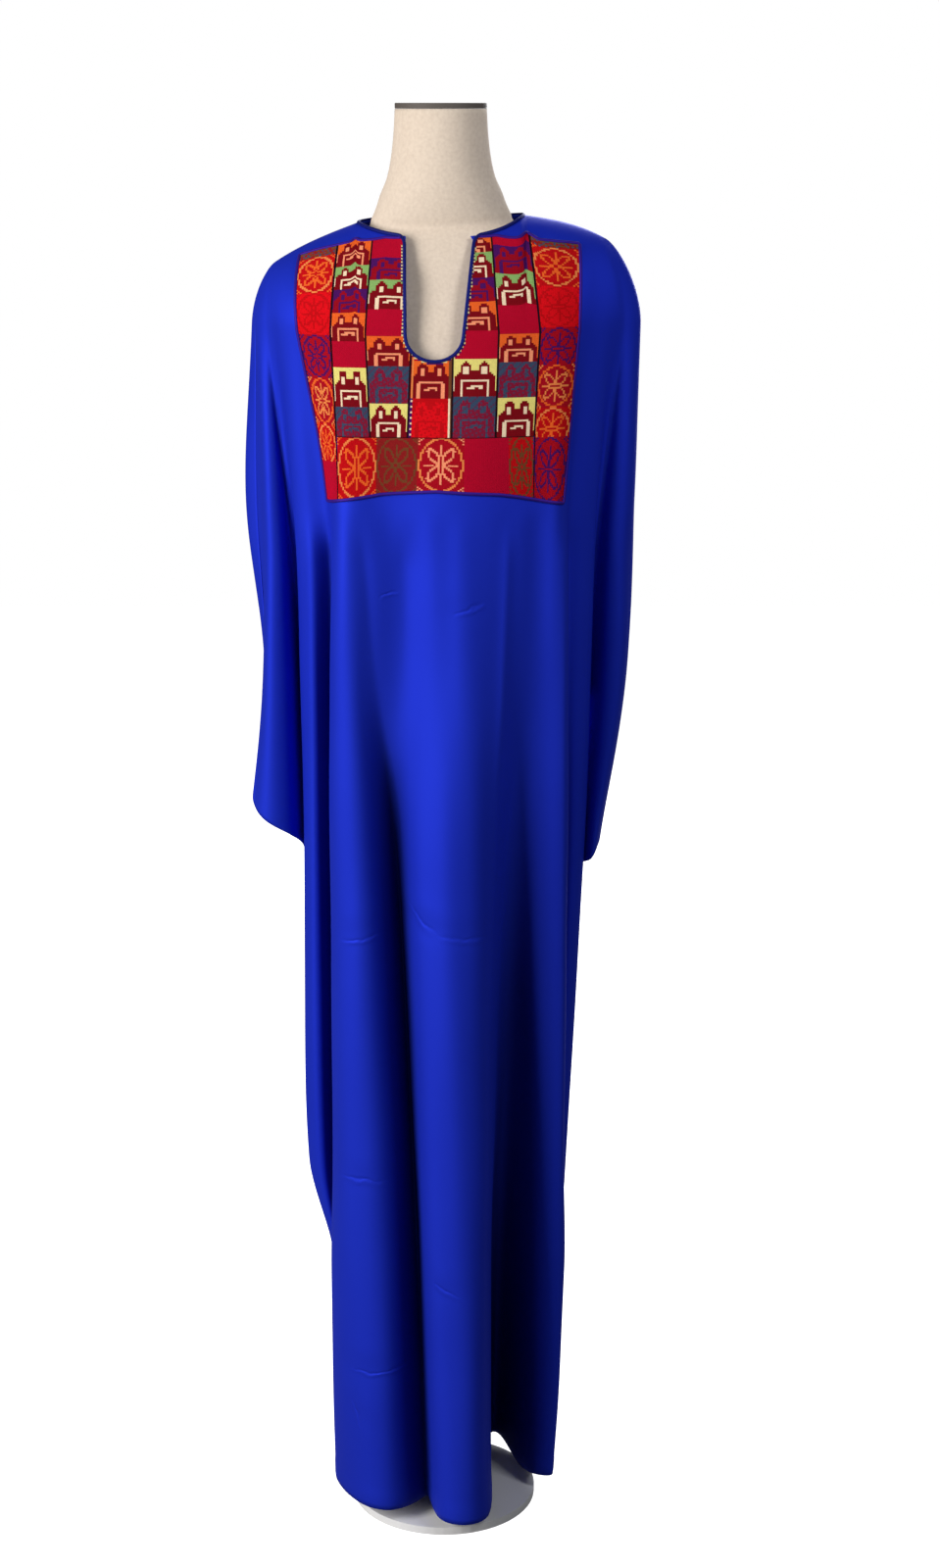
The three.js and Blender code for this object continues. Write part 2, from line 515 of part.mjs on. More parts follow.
const EDGE = CORD_RADIUS + 0.9;  // from the cord's middle to the patchwork beside it
const H = SEAM / 2;
const slitRoom = slitCutter(EDGE);
const patches = {
  yoke_side_left: patch(COLUMN.left, COLUMN.inLeft, ROW.top, ROW.bottom, { left: EDGE, right: H, top: EDGE + 0.8, bottom: EDGE }),
  yoke_left: patch(COLUMN.inLeft, COLUMN.slitLeft, ROW.top, ROW.bib, { left: H, right: H, top: EDGE + 0.8, bottom: H }).subtract(slitRoom),
  yoke_centre: patch(COLUMN.slitLeft, COLUMN.slitRight, ROW.chest, ROW.bib, { left: H, right: H, top: 0, bottom: H }).subtract(slitRoom),
  yoke_right: patch(COLUMN.slitRight, COLUMN.inRight, ROW.top, ROW.bib, { left: H, right: H, top: EDGE + 0.8, bottom: H }).subtract(slitRoom),
  yoke_side_right: patch(COLUMN.inRight, COLUMN.right, ROW.top, ROW.bottom, { left: H, right: EDGE, top: EDGE + 0.8, bottom: EDGE }),
  yoke_bottom: patch(COLUMN.inLeft, COLUMN.inRight, ROW.bib, ROW.bottom, { left: H, right: H, top: H, bottom: EDGE }),
};

// ---- cords ----
/** Round cord along a path of {p, n}, where n points away from the cloth. */
function cord(path, radius, closed) {
  const sides = 6;
  const count = path.length;
  const verts = [];
  path.forEach(({ p, n }, i) => {
    const before = path[closed ? (i + count - 1) % count : Math.max(i - 1, 0)].p;
    const after = path[closed ? (i + 1) % count : Math.min(i + 1, count - 1)].p;
    const t1 = unit(sub(p, before));
    const t2 = unit(sub(after, p));
    const t = unit(add(i || closed ? t1 : [0, 0, 0], i < count - 1 || closed ? t2 : [0, 0, 0]));
    const side = unit(cross(t, n));
    const up = unit(cross(side, t));
    const bend = clamp((t1[0] * t2[0] + t1[1] * t2[1] + t1[2] * t2[2] + 1) / 2, 0.4, 1);
    const stretch = (i === 0 || i === count - 1) && !closed ? 1 : 1 / Math.sqrt(bend);
    for (let k = 0; k < sides; k += 1) {
      const a = (2 * Math.PI * (k + 0.5)) / sides;
      verts.push(add(add(p, up, radius * Math.sin(a)), side, radius * stretch * Math.cos(a)));
    }
  });
  const tris = [];
  const rings = closed ? count : count - 1;
  for (let i = 0; i < rings; i += 1) {
    const m = (i + 1) % count;
    for (let k = 0; k < sides; k += 1) {
      const l = (k + 1) % sides;
      const [a, b, c, d] = [i * sides + k, i * sides + l, m * sides + l, m * sides + k];
      tris.push([a, b, c], [a, c, d]);
    }
  }
  if (!closed) {
    const last = (count - 1) * sides;
    for (let k = 1; k + 1 < sides; k += 1) tris.push([0, k + 1, k], [last, last + k, last + k + 1]);
  }
  const made = solid(verts, tris);
  return made.volume() < 0 ? solid(verts, tris.map(([a, b, c]) => [a, c, b])) : made;
}

/** Point and normal of the front's outer face straight behind (x, z) in the front view. */
function onFront(x, z) {
  for (let i = 0; i + 1 < body.length; i += 1) {
    for (let j = 0; j + 1 < bodyRows.length; j += 1) {
      const quad = [[i, j], [i, j + 1], [i + 1, j + 1], [i + 1, j]];
      for (const tri of [[quad[0], quad[1], quad[2]], [quad[0], quad[2], quad[3]]]) {
        const [a, b, c] = tri.map(([u, v]) => body[u][v]);
        const area = (b[0] - a[0]) * (c[2] - a[2]) - (c[0] - a[0]) * (b[2] - a[2]);
        const s = ((x - a[0]) * (c[2] - a[2]) - (c[0] - a[0]) * (z - a[2])) / area;
        const t = ((b[0] - a[0]) * (z - a[2]) - (x - a[0]) * (b[2] - a[2])) / area;
        if (s >= -1e-6 && t >= -1e-6 && s + t <= 1 + 1e-6) {
          const [na, nb, nc] = tri.map(([u, v]) => bodyNormals[u][v]);
          return { p: add(add(a, sub(b, a), s), sub(c, a), t), n: unit(add(add(na, sub(nb, na), s), sub(nc, na), t)) };
        }
      }
    }
  }
  return null;
}

const lift = ({ p, n }, d) => ({ p: add(p, n, d), n });
const CORD_LIFT = CORD_RADIUS + SEAM + 0.45;

/** Neckline points of a panel from one side to the other. */
function neckPoints(grids, sheet, from, to) {
  const normals = new Map(sheet.points.map((p, i) => [p.map((v) => Math.round(v * 1000)).join(), sheet.normals[i]]));
  const line = grids[1].map((l) => l[0]).filter((p) => p[0] > Math.min(from, to) && p[0] < Math.max(from, to))
    .map((p) => ({ p, n: normals.get(p.map((v) => Math.round(v * 1000)).join()) }));
  return from < to ? line : line.reverse();
}

/** Where the slit's edge meets the neckline. */
function slitCorner(x) {
  const line = body.map((l, i) => ({ p: l[0], n: bodyNormals[i][0] }));
  const k = line.findIndex((s, i) => line[i + 1] && s.p[0] <= x && line[i + 1].p[0] > x);
  const f = (x - line[k].p[0]) / (line[k + 1].p[0] - line[k].p[0]);
  return { p: mix(line[k].p, line[k + 1].p, f), n: unit(mix(line[k].n, line[k + 1].n, f)) };
}

const cornerLeft = slitCorner(SLIT.left);
const cornerRight = slitCorner(SLIT.right);
const slitEdge = (x, low) => Array.from({ length: 9 }, (_, k) => SLIT.top - 10 * (k + 1) - 1)
  .map((z) => onFront(lerp(x, low, (SLIT.top - z) / (SLIT.top - SLIT.round)), z));
const round = slitOutline(0).slice(2, -2).map(([x, z]) => onFront(x, z));
const neckGap = 6;
const binding = cord([
  cornerLeft, ...slitEdge(SLIT.left, SLIT.leftLow), ...round, ...slitEdge(SLIT.right, SLIT.rightLow).reverse(), cornerRight,
  ...neckPoints(frontGrids, frontSheet, SLIT.right + neckGap, NECK_HALF + 0.01),
  ...neckPoints(backGrids, backSheet, NECK_HALF - 1, -NECK_HALF + 1),
  ...neckPoints(frontGrids, frontSheet, SLIT.left - neckGap, -NECK_HALF - 0.01).reverse(),
].map((s) => lift(s, CORD_LIFT)), CORD_RADIUS, true);

/** Piping round the outside of the patchwork, open at the slit. */
function yokePiping() {
  const path = [];
  const stepColumns = (a, b) => Array.from({ length: Math.abs(b - a) + 1 }, (_, k) => a + Math.sign(b - a) * k);
  const startColumn = body.findIndex((l) => l[ROW.top][0] > SLIT.left - 2 * EDGE) - 1;
  const endColumn = body.findIndex((l) => l[ROW.top][0] > SLIT.right + 2 * EDGE);
  const partial = (i, x) => {
    const a = body[i][ROW.top][0];
    const f = (x - a) / (body[i + 1][ROW.top][0] - a);
    return onGrid(i + f, lerp(topRow(i), topRow(i + 1), f));
  };
  const onTop = (i) => onGrid(i, topRow(i));
  const onFoot = (i) => onGrid(i, ROW.bottom - footRise(i) / Math.hypot(...sub(body[i][ROW.bottom], body[i][ROW.bottom - 1])));
  path.push(partial(startColumn, SLIT.left - 2 * EDGE));
  for (const i of stepColumns(startColumn, COLUMN.left)) path.push(onTop(i));
  for (const j of stepColumns(ROW.top, ROW.bottom).slice(1)) path.push(onGrid(COLUMN.left, j));
  for (const i of stepColumns(COLUMN.left, COLUMN.right).slice(1)) path.push(onFoot(i));
  for (const j of stepColumns(ROW.bottom, ROW.top).slice(1, -1)) path.push(onGrid(COLUMN.right, j));
  for (const i of stepColumns(COLUMN.right, endColumn)) path.push(onTop(i));
  path.push(partial(endColumn - 1, SLIT.right + 2 * EDGE));
  return cord(path.map((s) => lift(s, CORD_LIFT)), CORD_RADIUS, false);
}

// ---- dress form and stand ----
/** Ring of the form: rounder at the neck, a little squarer across the chest. */
function formRing(ring, n) {
  return Array.from({ length: n }, (_, k) => {
    const a = (2 * Math.PI * k) / n;
    const x = ring.half * Math.cos(a);
    const y = Math.sin(a) * (Math.sin(a) < 0 ? ring.front : ring.back);
    return [x, y, ring.z + FORM_TILT * ring.tilt * x];
  });
}

function formBody() {
  const n = 36;
  const verts = FORM_RINGS.flatMap((ring) => formRing(ring, n));
  const tris = [];
  for (let r = 0; r + 1 < FORM_RINGS.length; r += 1) {
    for (let k = 0; k < n; k += 1) {
      const l = (k + 1) % n;
      const [a, b, c, d] = [r * n + k, r * n + l, (r + 1) * n + l, (r + 1) * n + k];
      tris.push([a, c, b], [a, d, c]);
    }
  }
  const last = (FORM_RINGS.length - 1) * n;
  for (let k = 1; k + 1 < n; k += 1) tris.push([0, k, k + 1], [last, last + k + 1, last + k]);
  return solid(verts, tris);
}

const disc = (radius, height, z, sides, scaleY = 1) => Manifold.cylinder(height, radius, radius, sides).scale([1, scaleY, 1]).translate([0, 0, z]);
const formBottom = FORM_RINGS.at(-1).z;
const collarZ = formBottom - COLLAR.height - SEAM;

// ---- named meshes ----
const group = new THREE.Group();
group.name = 'abaya_on_dress_form';
function addMesh(name, manifold, color, roughness, metalness = 0) {
  const mesh = manifold.getMesh();
  const position = new Float32Array(mesh.numVert * 3);
  for (let v = 0; v < mesh.numVert; v += 1) position.set(mesh.vertProperties.subarray(v * mesh.numProp, v * mesh.numProp + 3), v * 3);
  const geometry = new THREE.BufferGeometry();
  geometry.setAttribute('position', new THREE.BufferAttribute(position, 3));
  geometry.setIndex(new THREE.BufferAttribute(new Uint32Array(mesh.triVerts), 1));
  geometry.computeVertexNormals();
  const made = new THREE.Mesh(geometry, new THREE.MeshStandardMaterial({ color, roughness, metalness, name }));
  made.name = name;
  group.add(made);
}

const BLUE = 0x1420c8;
addMesh('front_panel', frontPanel, BLUE, 0.45);
addMesh('back_panel', backPanel, BLUE, 0.45);
const PATCH_COLORS = {
  yoke_side_left: 0xa82436, yoke_left: 0x9a1f38, yoke_centre: 0xb8402c, yoke_right: 0x9a1f38,
  yoke_side_right: 0xa82436, yoke_bottom: 0x8f2030,
};
for (const [name, made] of Object.entries(patches)) addMesh(name, made, PATCH_COLORS[name], 0.8);
addMesh('yoke_piping', yokePiping(), 0x3a1d7a, 0.5);
addMesh('neck_binding', binding, 0x151c66, 0.5);
addMesh('form_body', formBody(), 0xd8cdbf, 0.85);
addMesh('neck_cap', disc(CAP.half, CAP.height, CAP.z, 36, CAP.depth / CAP.half), 0x4a4038, 0.6);
addMesh('pole_collar', disc(COLLAR.radius, COLLAR.height, collarZ, 32), 0xe8e8e8, 0.35, 0.3);
addMesh('pole', disc(POLE_RADIUS, collarZ - BASE.height - 2 * SEAM, BASE.height + SEAM, 32), 0xe8e8e8, 0.3, 0.4);
addMesh('base', disc(BASE.radius, BASE.height, 0, 64), 0xe8e8e8, 0.35, 0.3);

export default group;
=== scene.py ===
# %% [markdown]
# # A butterfly-sleeve abaya on a dress form
# This robe is one wide cloth in front and one behind. They hang from the shoulders in
# long soft folds, and the sleeves are cut in one with the body. A patchwork of
# cross-stitch lies on the chest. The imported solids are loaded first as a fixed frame,
# and each finished piece stands in for the solids it dresses.

# %% Load the frame
import math

import bpy
import numpy as np
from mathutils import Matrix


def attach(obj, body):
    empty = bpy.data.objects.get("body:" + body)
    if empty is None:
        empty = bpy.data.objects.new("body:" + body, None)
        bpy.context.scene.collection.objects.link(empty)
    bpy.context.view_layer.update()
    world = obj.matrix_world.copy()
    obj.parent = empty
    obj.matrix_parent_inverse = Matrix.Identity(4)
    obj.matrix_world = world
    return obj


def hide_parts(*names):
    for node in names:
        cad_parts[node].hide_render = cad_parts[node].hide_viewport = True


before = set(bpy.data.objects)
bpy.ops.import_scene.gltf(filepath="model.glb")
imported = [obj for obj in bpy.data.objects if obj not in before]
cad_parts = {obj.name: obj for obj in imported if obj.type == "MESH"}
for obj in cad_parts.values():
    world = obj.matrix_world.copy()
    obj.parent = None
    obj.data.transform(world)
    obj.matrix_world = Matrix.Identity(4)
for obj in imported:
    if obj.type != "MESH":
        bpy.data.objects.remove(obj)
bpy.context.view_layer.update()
MM = 0.001
print("solids:", sorted(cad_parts))

# %% [markdown]
# The camera comes first, because every later choice is judged through it. The robe was
# seen from about three metres, with the lens at the height of the neck cap and tipped
# down. A long lens keeps the upright folds from leaning.

# %% Camera
PHOTO_HEIGHT = 1600
FOCAL_PIXELS = 2709
CAMERA_PLACE = (0.032, -3.0, 1.68)
CAMERA_TILT = math.radians(14.39)
camera_data = bpy.data.cameras.new("camera")
camera_data.sensor_width = 36
camera_data.lens = FOCAL_PIXELS / PHOTO_HEIGHT * camera_data.sensor_width
camera = bpy.data.objects.new("camera", camera_data)
camera.location = CAMERA_PLACE
camera.rotation_euler = (math.pi / 2 - CAMERA_TILT, 0, 0)
bpy.context.scene.collection.objects.link(camera)
bpy.context.scene.camera = camera
print("lens", round(camera_data.lens, 2), "mm")

# %% [markdown]
# A hanging cloth is easiest to describe by its threads. Each row below is one thread
# line: where it runs, in millimetres, at the chest, the bib, the underarm, the cuff, the
# knee, the shin and the hem. Neighbouring rows that swap from near to far make a fold.
# A short table like this keeps every fold editable by hand. A sculpted mesh would not.

# %% Fold tables
# heights of the chest, the bib, the underarm, the cuff, the knee, the shin and the hem
LEVELS = np.array([1440, 1240, 1040, 830, 440, 310, 30])
UNDERARM = 1040
HEM = 30
# left between two sewn pieces
SEAM = 0.3
# each row: the name of the thread, its x at the levels, its y at the levels
FRONT_FOLDS = [
    ("left valley wall", (-184, -166, -156, -152, -150, -130, -118), (-44, -18, 16, 24, 26, 26, 26)),
    ("left side fold", (-178, -168, -168, -168, -171, -138, -124), (-54, -36, -8, 6, 14, 16, 18)),
    ("left side front", (-166, -152, -152, -154, -150, -130, -120), (-66, -54, -34, -16, -6, -2, 8)),
    ("left tuck", (-154, -124, -122, -122, -124, -122, -116), (-74, -54, -36, -18, -4, 0, 8)),
    ("left edge", (-142, -123, -128, -132, -136, -142, -144), (-82, -78, -60, -42, -24, -18, -4)),
    ("left lobe side", (-120, -117, -124, -127, -128, -126, -118), (-92, -106, -93, -84, -76, -75, -74)),
    ("left lobe front", (-98, -98, -100, -98, -92, -90, -84), (-98, -116, -106, -100, -100, -102, -108)),
    ("left lobe right", (-74, -76, -88, -76, -61, -56, -49), (-102, -112, -100, -96, -99, -100, -106)),
    ("left valley", (-50, -58, -72, -54, -36, -31, -22), (-105, -112, -94, -66, -68, -70, -76)),
    ("centre lobe edge", (-26, -36, -47, -43, -29, -24, -15), (-106, -116, -96, -84, -86, -88, -98)),
    ("centre lobe left", (-2, -8, -14, -19, -14, -11, 0), (-107, -123, -116, -120, -122, -124, -134)),
    ("centre lobe front", (24, 22, 20, 20, 22, 23, 27), (-107, -126, -128, -132, -138, -140, -146)),
    ("centre lobe right", (50, 50, 48, 50, 54, 56, 60), (-105, -121, -121, -120, -124, -125, -126)),
    ("recess left wall", (70, 75, 70, 64, 60, 59, 59), (-101, -112, -108, -92, -72, -66, -52)),
    ("recess left end", (90, 92, 84, 72, 58, 55, 50), (-96, -105, -95, -66, -14, 16, 94)),
    ("recess right end", (108, 106, 98, 88, 78, 76, 72), (-91, -99, -89, -60, -6, 23, 96)),
    ("recess right wall", (124, 118, 112, 106, 98, 95, 90), (-86, -96, -88, -68, -36, -24, 4)),
    ("right lobe", (136, 130, 128, 126, 122, 119, 112), (-80, -94, -86, -72, -48, -40, -24)),
    ("right edge", (149, 144, 147, 150, 152, 155, 143), (-72, -76, -70, -56, -36, -30, -16)),
    ("right tuck", (159, 138, 138, 140, 134, 136, 124), (-62, -52, -44, -32, -14, -8, 4)),
    ("right side front", (170, 160, 158, 156, 142, 137, 124), (-54, -46, -34, -24, 0, 5, 12)),
    ("right side fold", (184, 179, 177, 170, 152, 144, 126), (-44, -32, -16, -4, 10, 14, 20)),
    ("right valley wall", (194, 172, 162, 156, 140, 133, 116), (-34, -14, 14, 24, 28, 28, 28)),
]

BACK_FOLDS = [
    ("left valley wall", (-182, -166, -156, -152, -150, -130, -118), (56, 42, 24, 34, 38, 38, 38)),
    ("left side fold", (-172, -168, -164, -160, -150, -136, -128), (70, 66, 56, 52, 54, 54, 52)),
    ("left side back", (-152, -148, -146, -142, -136, -135, -132), (82, 86, 86, 84, 84, 84, 84)),
    ("left valley", (-128, -126, -122, -114, -106, -104, -100), (90, 92, 86, 78, 72, 71, 68)),
    ("left ridge", (-104, -102, -98, -90, -82, -80, -76), (95, 104, 108, 110, 114, 115, 118)),
    ("left ridge right", (-80, -80, -76, -66, -56, -53, -48), (98, 108, 112, 118, 126, 129, 134)),
    ("centre valley left", (-54, -56, -52, -44, -34, -31, -26), (100, 108, 104, 96, 88, 86, 82)),
    ("centre valley right", (-28, -30, -28, -22, -14, -11, -6), (101, 108, 102, 92, 82, 79, 74)),
    ("centre ridge", (0, -4, -4, 0, 6, 8, 14), (102, 110, 112, 112, 114, 115, 116)),
    ("centre ridge right", (28, 24, 22, 26, 34, 37, 42), (101, 110, 116, 122, 130, 133, 138)),
    ("right flat", (54, 52, 50, 54, 62, 65, 70), (99, 108, 112, 116, 124, 127, 134)),
    ("right valley", (80, 80, 78, 82, 90, 92, 96), (97, 105, 100, 92, 92, 97, 112)),
    ("right ridge", (106, 106, 106, 106, 108, 109, 112), (93, 100, 100, 98, 96, 99, 108)),
    ("right side back", (134, 134, 134, 130, 126, 126, 126), (87, 90, 90, 88, 80, 80, 84)),
    ("right side valley", (158, 156, 152, 142, 132, 129, 122), (78, 78, 72, 66, 58, 57, 56)),
    ("right side fold", (178, 172, 166, 160, 146, 140, 126), (66, 62, 52, 48, 46, 46, 46)),
    ("right valley wall", (192, 172, 162, 156, 140, 133, 116), (50, 40, 24, 34, 38, 38, 38)),
]

# the sleeves end at the cuff, so their rows have four levels
SLEEVE_FOLDS = {
    "left_front": [
        ("wall", (-192, -178, -165, -162), (-34, -14, 16, 18)),
        ("fold right", (-197, -180, -176, -174), (-30, -30, -20, -10)),
        ("fold edge", (-203, -199, -204, -212), (-22, -34, -28, -18)),
        ("fold outer", (-208, -204, -209, -230), (-10, -8, -4, -2)),
        ("ridge", (-208, -210, -205, -231), (4, 6, 10, 12)),
    ],
    "left_back": [
        ("wall", (-190, -178, -165, -162), (50, 44, 26, 26)),
        ("fold right", (-197, -190, -182, -180), (46, 58, 54, 48)),
        ("fold edge", (-209, -216, -200, -210), (38, 50, 48, 44)),
        ("fold outer", (-216, -230, -208, -226), (22, 26, 28, 28)),
        ("ridge", (-208, -210, -205, -231), (4, 6, 10, 12)),
    ],
    "right_front": [
        ("wall", (202, 184, 171, 162), (-26, -10, 14, 18)),
        ("fold left", (207, 190, 186, 173), (-24, -26, -18, -8)),
        ("fold edge", (215, 208, 206, 178), (-18, -28, -22, -14)),
        ("fold outer", (222, 218, 214, 183), (-8, -10, -6, -2)),
        ("ridge", (223, 219, 212, 184), (4, 6, 10, 12)),
    ],
    "right_back": [
        ("wall", (200, 184, 171, 162), (44, 42, 26, 26)),
        ("fold left", (207, 196, 188, 174), (42, 54, 52, 46)),
        ("fold edge", (217, 215, 206, 180), (34, 46, 46, 42)),
        ("fold outer", (223, 221, 213, 185), (20, 24, 28, 28)),
        ("ridge", (223, 219, 212, 184), (4, 6, 10, 12)),
    ],
}

# %% [markdown]
# Between the levels a thread runs on a smooth curve through its points, and across the
# threads the cloth is a soft curve pulled towards them. A B-spline does this: it rounds
# every ridge a little, as cloth does, and never overshoots.

# %% Curves through the tables
def ease(t):
    t = np.clip(t, 0, 1)
    return t * t * (3 - 2 * t)


def down(values, z):
    """Place of one thread at the heights z."""
    v = np.asarray(values, float)
    zs = LEVELS[: len(v)].astype(float)
    ends = np.clip(np.arange(len(v))[:, None] + [-1, 1], 0, len(v) - 1)
    slope = (v[ends[:, 1]] - v[ends[:, 0]]) / (zs[ends[:, 1]] - zs[ends[:, 0]])
    z = np.clip(z, zs[-1], zs[0])
    k = np.clip(np.searchsorted(-zs, -z, side="right") - 1, 0, len(v) - 2)
    h = zs[k + 1] - zs[k]
    f = (z - zs[k]) / h
    start = (1 + 2 * f) * (1 - f) ** 2 * v[k] + f * (1 - f) ** 2 * h * slope[k]
    return start + f * f * (3 - 2 * f) * v[k + 1] + f * f * (f - 1) * h * slope[k + 1]


def thread(row, z):
    return np.stack([down(row[1], z), down(row[2], z)], -1)


def valley_seam(own, across, other, facing):
    """The edge beside the body: a valley above the underarm, half a sewn seam below."""
    def edge(z):
        low = 0.5 * (thread(own, np.maximum(z, UNDERARM)) + thread(across, np.maximum(z, UNDERARM)))
        sewn = 0.5 * (thread(own, z) + thread(other, z)) + [0, facing * SEAM / 2]
        t = ease((UNDERARM - z) / 45)[..., None]
        return low * (1 - t) + sewn * t
    return edge


def row_edge(row):
    return lambda z: thread(row, z)


def soft_weights(f):
    return np.array([(1 - f) ** 3, 3 * f**3 - 6 * f**2 + 4, -3 * f**3 + 3 * f**2 + 3 * f + 1, f**3]) / 6


def across_threads(threads, q, z):
    """Soft curve across the threads at position q, for the heights z."""
    n = len(threads)
    i = int(np.clip(math.floor(q), 0, n - 2))
    total = 0
    for weight, k in zip(soft_weights(q - i), range(i - 1, i + 3)):
        if k < 0:
            point = 2 * threads[0](z) - threads[1](z)
        elif k > n - 1:
            point = 2 * threads[-1](z) - threads[-2](z)
        else:
            point = threads[k](z)
        total = total + weight * point
    return total


# %% [markdown]
# The threads hang from the neckline and the shoulder seam. Over the shoulder each one
# leaves the seam almost level, bends, and comes down on the chest. A Bezier curve with
# one handle along the shoulder and one straight up from the chest gives that bend.

# %% Shoulders and neckline
NECK_HALF = 92
TIP_X = 183
# out to here the threads hang straight from the shoulder
THREAD_X = 150
# y and z of the neckline's middle, in front (-1) and behind (1)
NECK_EDGE = {-1: (-64, 1539), 1: (60, 1556)}
# height at the neck, height at the tip, share of the drop that is even
SHOULDER = {"left": (1552, 1510, 0.8), "right": (1560, 1534, 0.5)}
# height of the cuff beside the body and at the sleeve's outer ridge
CUFF = {"left": (812, 904), "right": (800, 846)}
# the upper handle of the curve is this share of the drop
CHEST_PULL = 0.42


def unit(v):
    return v / np.maximum(np.linalg.norm(v, axis=-1, keepdims=True), 1e-9)


def mix(a, b, t):
    return a + (b - a) * t


def hang_point(x, facing):
    """Point of the neckline or the shoulder seam at x, the way out of it, and its reach."""
    neck, tip, even = SHOULDER["left" if x < 0 else "right"]
    a = abs(x)
    if a < NECK_HALF - 0.01:
        t = a / NECK_HALF
        depth = math.sqrt(1 - t * t)
        y, z = NECK_EDGE[facing]
        out = [0, facing * mix(1, 0.62, depth), -mix(0.12, 0.78, depth)]
        return np.array([x, y * depth, mix(z, neck, t**3)]), unit(np.array(out)), mix(52, 30, depth)
    f = (a - NECK_HALF) / (TIP_X - NECK_HALF)
    z = mix(neck, tip, even * f + (1 - even) * f**3)
    out = [math.copysign(0.9 * f**4, x), facing * (1 - f**6), -mix(0.12, 0.55, f**3)]
    return np.array([x, facing * SEAM / 2, z]), unit(np.array(out)), mix(52, 18, f**2)


def hang_x(x, ridge_x):
    """Threads of the body hang straight down; those further out gather to the tip."""
    a = abs(x)
    if a <= THREAD_X:
        return x
    return math.copysign(mix(THREAD_X, TIP_X, (a - THREAD_X) / (abs(ridge_x) - THREAD_X)), x)


# %% [markdown]
# The body and the two sleeves of one panel are three strips that share their edges. A
# strip knows its threads and where each one hangs, and answers one question: where is the
# cloth this far down that thread. The same strip later carries the patchwork.

# %% Strips of cloth
class Strip:
    """Threads side by side between two edges, hung from the shoulder line."""

    def __init__(self, threads, facing, hang, ridge_at=None):
        self.threads = threads
        self.facing = facing
        self.hang = hang
        self.ridge_at = ridge_at
        self.last = len(threads) - 1

    def below(self, q, z):
        p = across_threads(self.threads, q, z)
        if self.ridge_at is not None and abs(q - self.ridge_at) < 1e-6:
            p = p + [0, self.facing * SEAM / 2]
        return np.concatenate([p, z[..., None]], -1)

    def column(self, q, w):
        """Points down one thread. w from 0 to 1 is the shoulder; above 1 it falls a metre for each 1."""
        w = np.asarray(w, float)
        chest = self.below(q, np.array([LEVELS[0], LEVELS[0] - 20.0]))
        start, out, reach = hang_point(self.hang(q), self.facing)
        b = start + out * reach
        c = chest[0] + unit(chest[0] - chest[1]) * CHEST_PULL * (start[2] - chest[0][2])
        v = np.clip(w, 0, 1)[:, None]
        u = 1 - v
        top = u**3 * start + 3 * u * u * v * b + 3 * u * v * v * c + v**3 * chest[0]
        low = self.below(q, LEVELS[0] - 1000 * np.maximum(w - 1, 0))
        return np.where(w[:, None] < 1, top, low)

    def chest_x(self, q):
        return float(self.below(q, np.array([float(LEVELS[0])]))[0][0])

    def find(self, x):
        """Position of the thread that passes the chest at x."""
        a, b = 0.0, float(self.last)
        for _ in range(40):
            m = (a + b) / 2
            if self.chest_x(m) < x:
                a = m
            else:
                b = m
        return (a + b) / 2


def panel_strips(facing):
    own, far = (FRONT_FOLDS, BACK_FOLDS) if facing < 0 else (BACK_FOLDS, FRONT_FOLDS)
    name, other = ("front", "back") if facing < 0 else ("back", "front")
    sleeves = {side: SLEEVE_FOLDS[side + "_" + name] for side in ("left", "right")}
    others = {side: SLEEVE_FOLDS[side + "_" + other] for side in ("left", "right")}
    threads = [valley_seam(own[0], sleeves["left"][0], far[0], facing)]
    threads += [row_edge(row) for row in own]
    threads += [valley_seam(own[-1], sleeves["right"][0], far[-1], facing)]
    ridge = {side: SLEEVE_FOLDS[side + "_front"][-1][1][0] for side in ("left", "right")}
    body = Strip(threads, facing, None)
    body.hang = lambda q: hang_x(body.chest_x(q), ridge["left" if body.chest_x(q) < 0 else "right"])
    strips = {"body": body}
    for side, edge in (("left", own[0]), ("right", own[-1])):
        rows = sleeves[side]
        seam = valley_seam(rows[0], edge, others[side][0], facing)
        line = [seam] + [row_edge(row) for row in rows]
        start = hang_x(body.chest_x(0 if side == "left" else body.last), ridge[side])
        count = len(line) - 1
        if side == "left":
            line.reverse()
        end = math.copysign(TIP_X, ridge[side])

        def share(q, count=count, side=side):
            return 1 - q / count if side == "left" else q / count

        def hang(q, start=start, end=end, share=share):
            return mix(start, end, share(q))

        strips[side] = Strip(line, facing, hang, 0 if side == "left" else count)
        strips[side].share = share
    return strips


front = panel_strips(-1)
back = panel_strips(1)
print("front threads:", front["body"].last + 1, "back threads:", back["body"].last + 1)

# %% [markdown]
# A pattern is only as good as its grid. Each strip becomes columns that follow the
# threads and rows that follow the fall, so every fold runs along an edge loop. The three
# strips share their edge points down to the underarm, where the sleeve opens.

# %% Grids for the panels
# rows over the shoulder, then row steps in millimetres, then columns for each thread
TOP_STEPS = 22
ARM_STEP = 8
FALL_STEP = 6.6
BODY_COLUMNS = 6
SLEEVE_COLUMNS = 7
SLEEVE_FALL = 34


def fall_rows(foot, count):
    shoulder = np.linspace(0, 1, TOP_STEPS + 1)
    arm = np.arange(LEVELS[0] - ARM_STEP, UNDERARM - 1, -ARM_STEP)
    low = UNDERARM + (foot - UNDERARM) * np.linspace(0, 1, count + 1)[1:]
    return np.concatenate([shoulder, 1 + (LEVELS[0] - np.concatenate([arm, low])) / 1000])


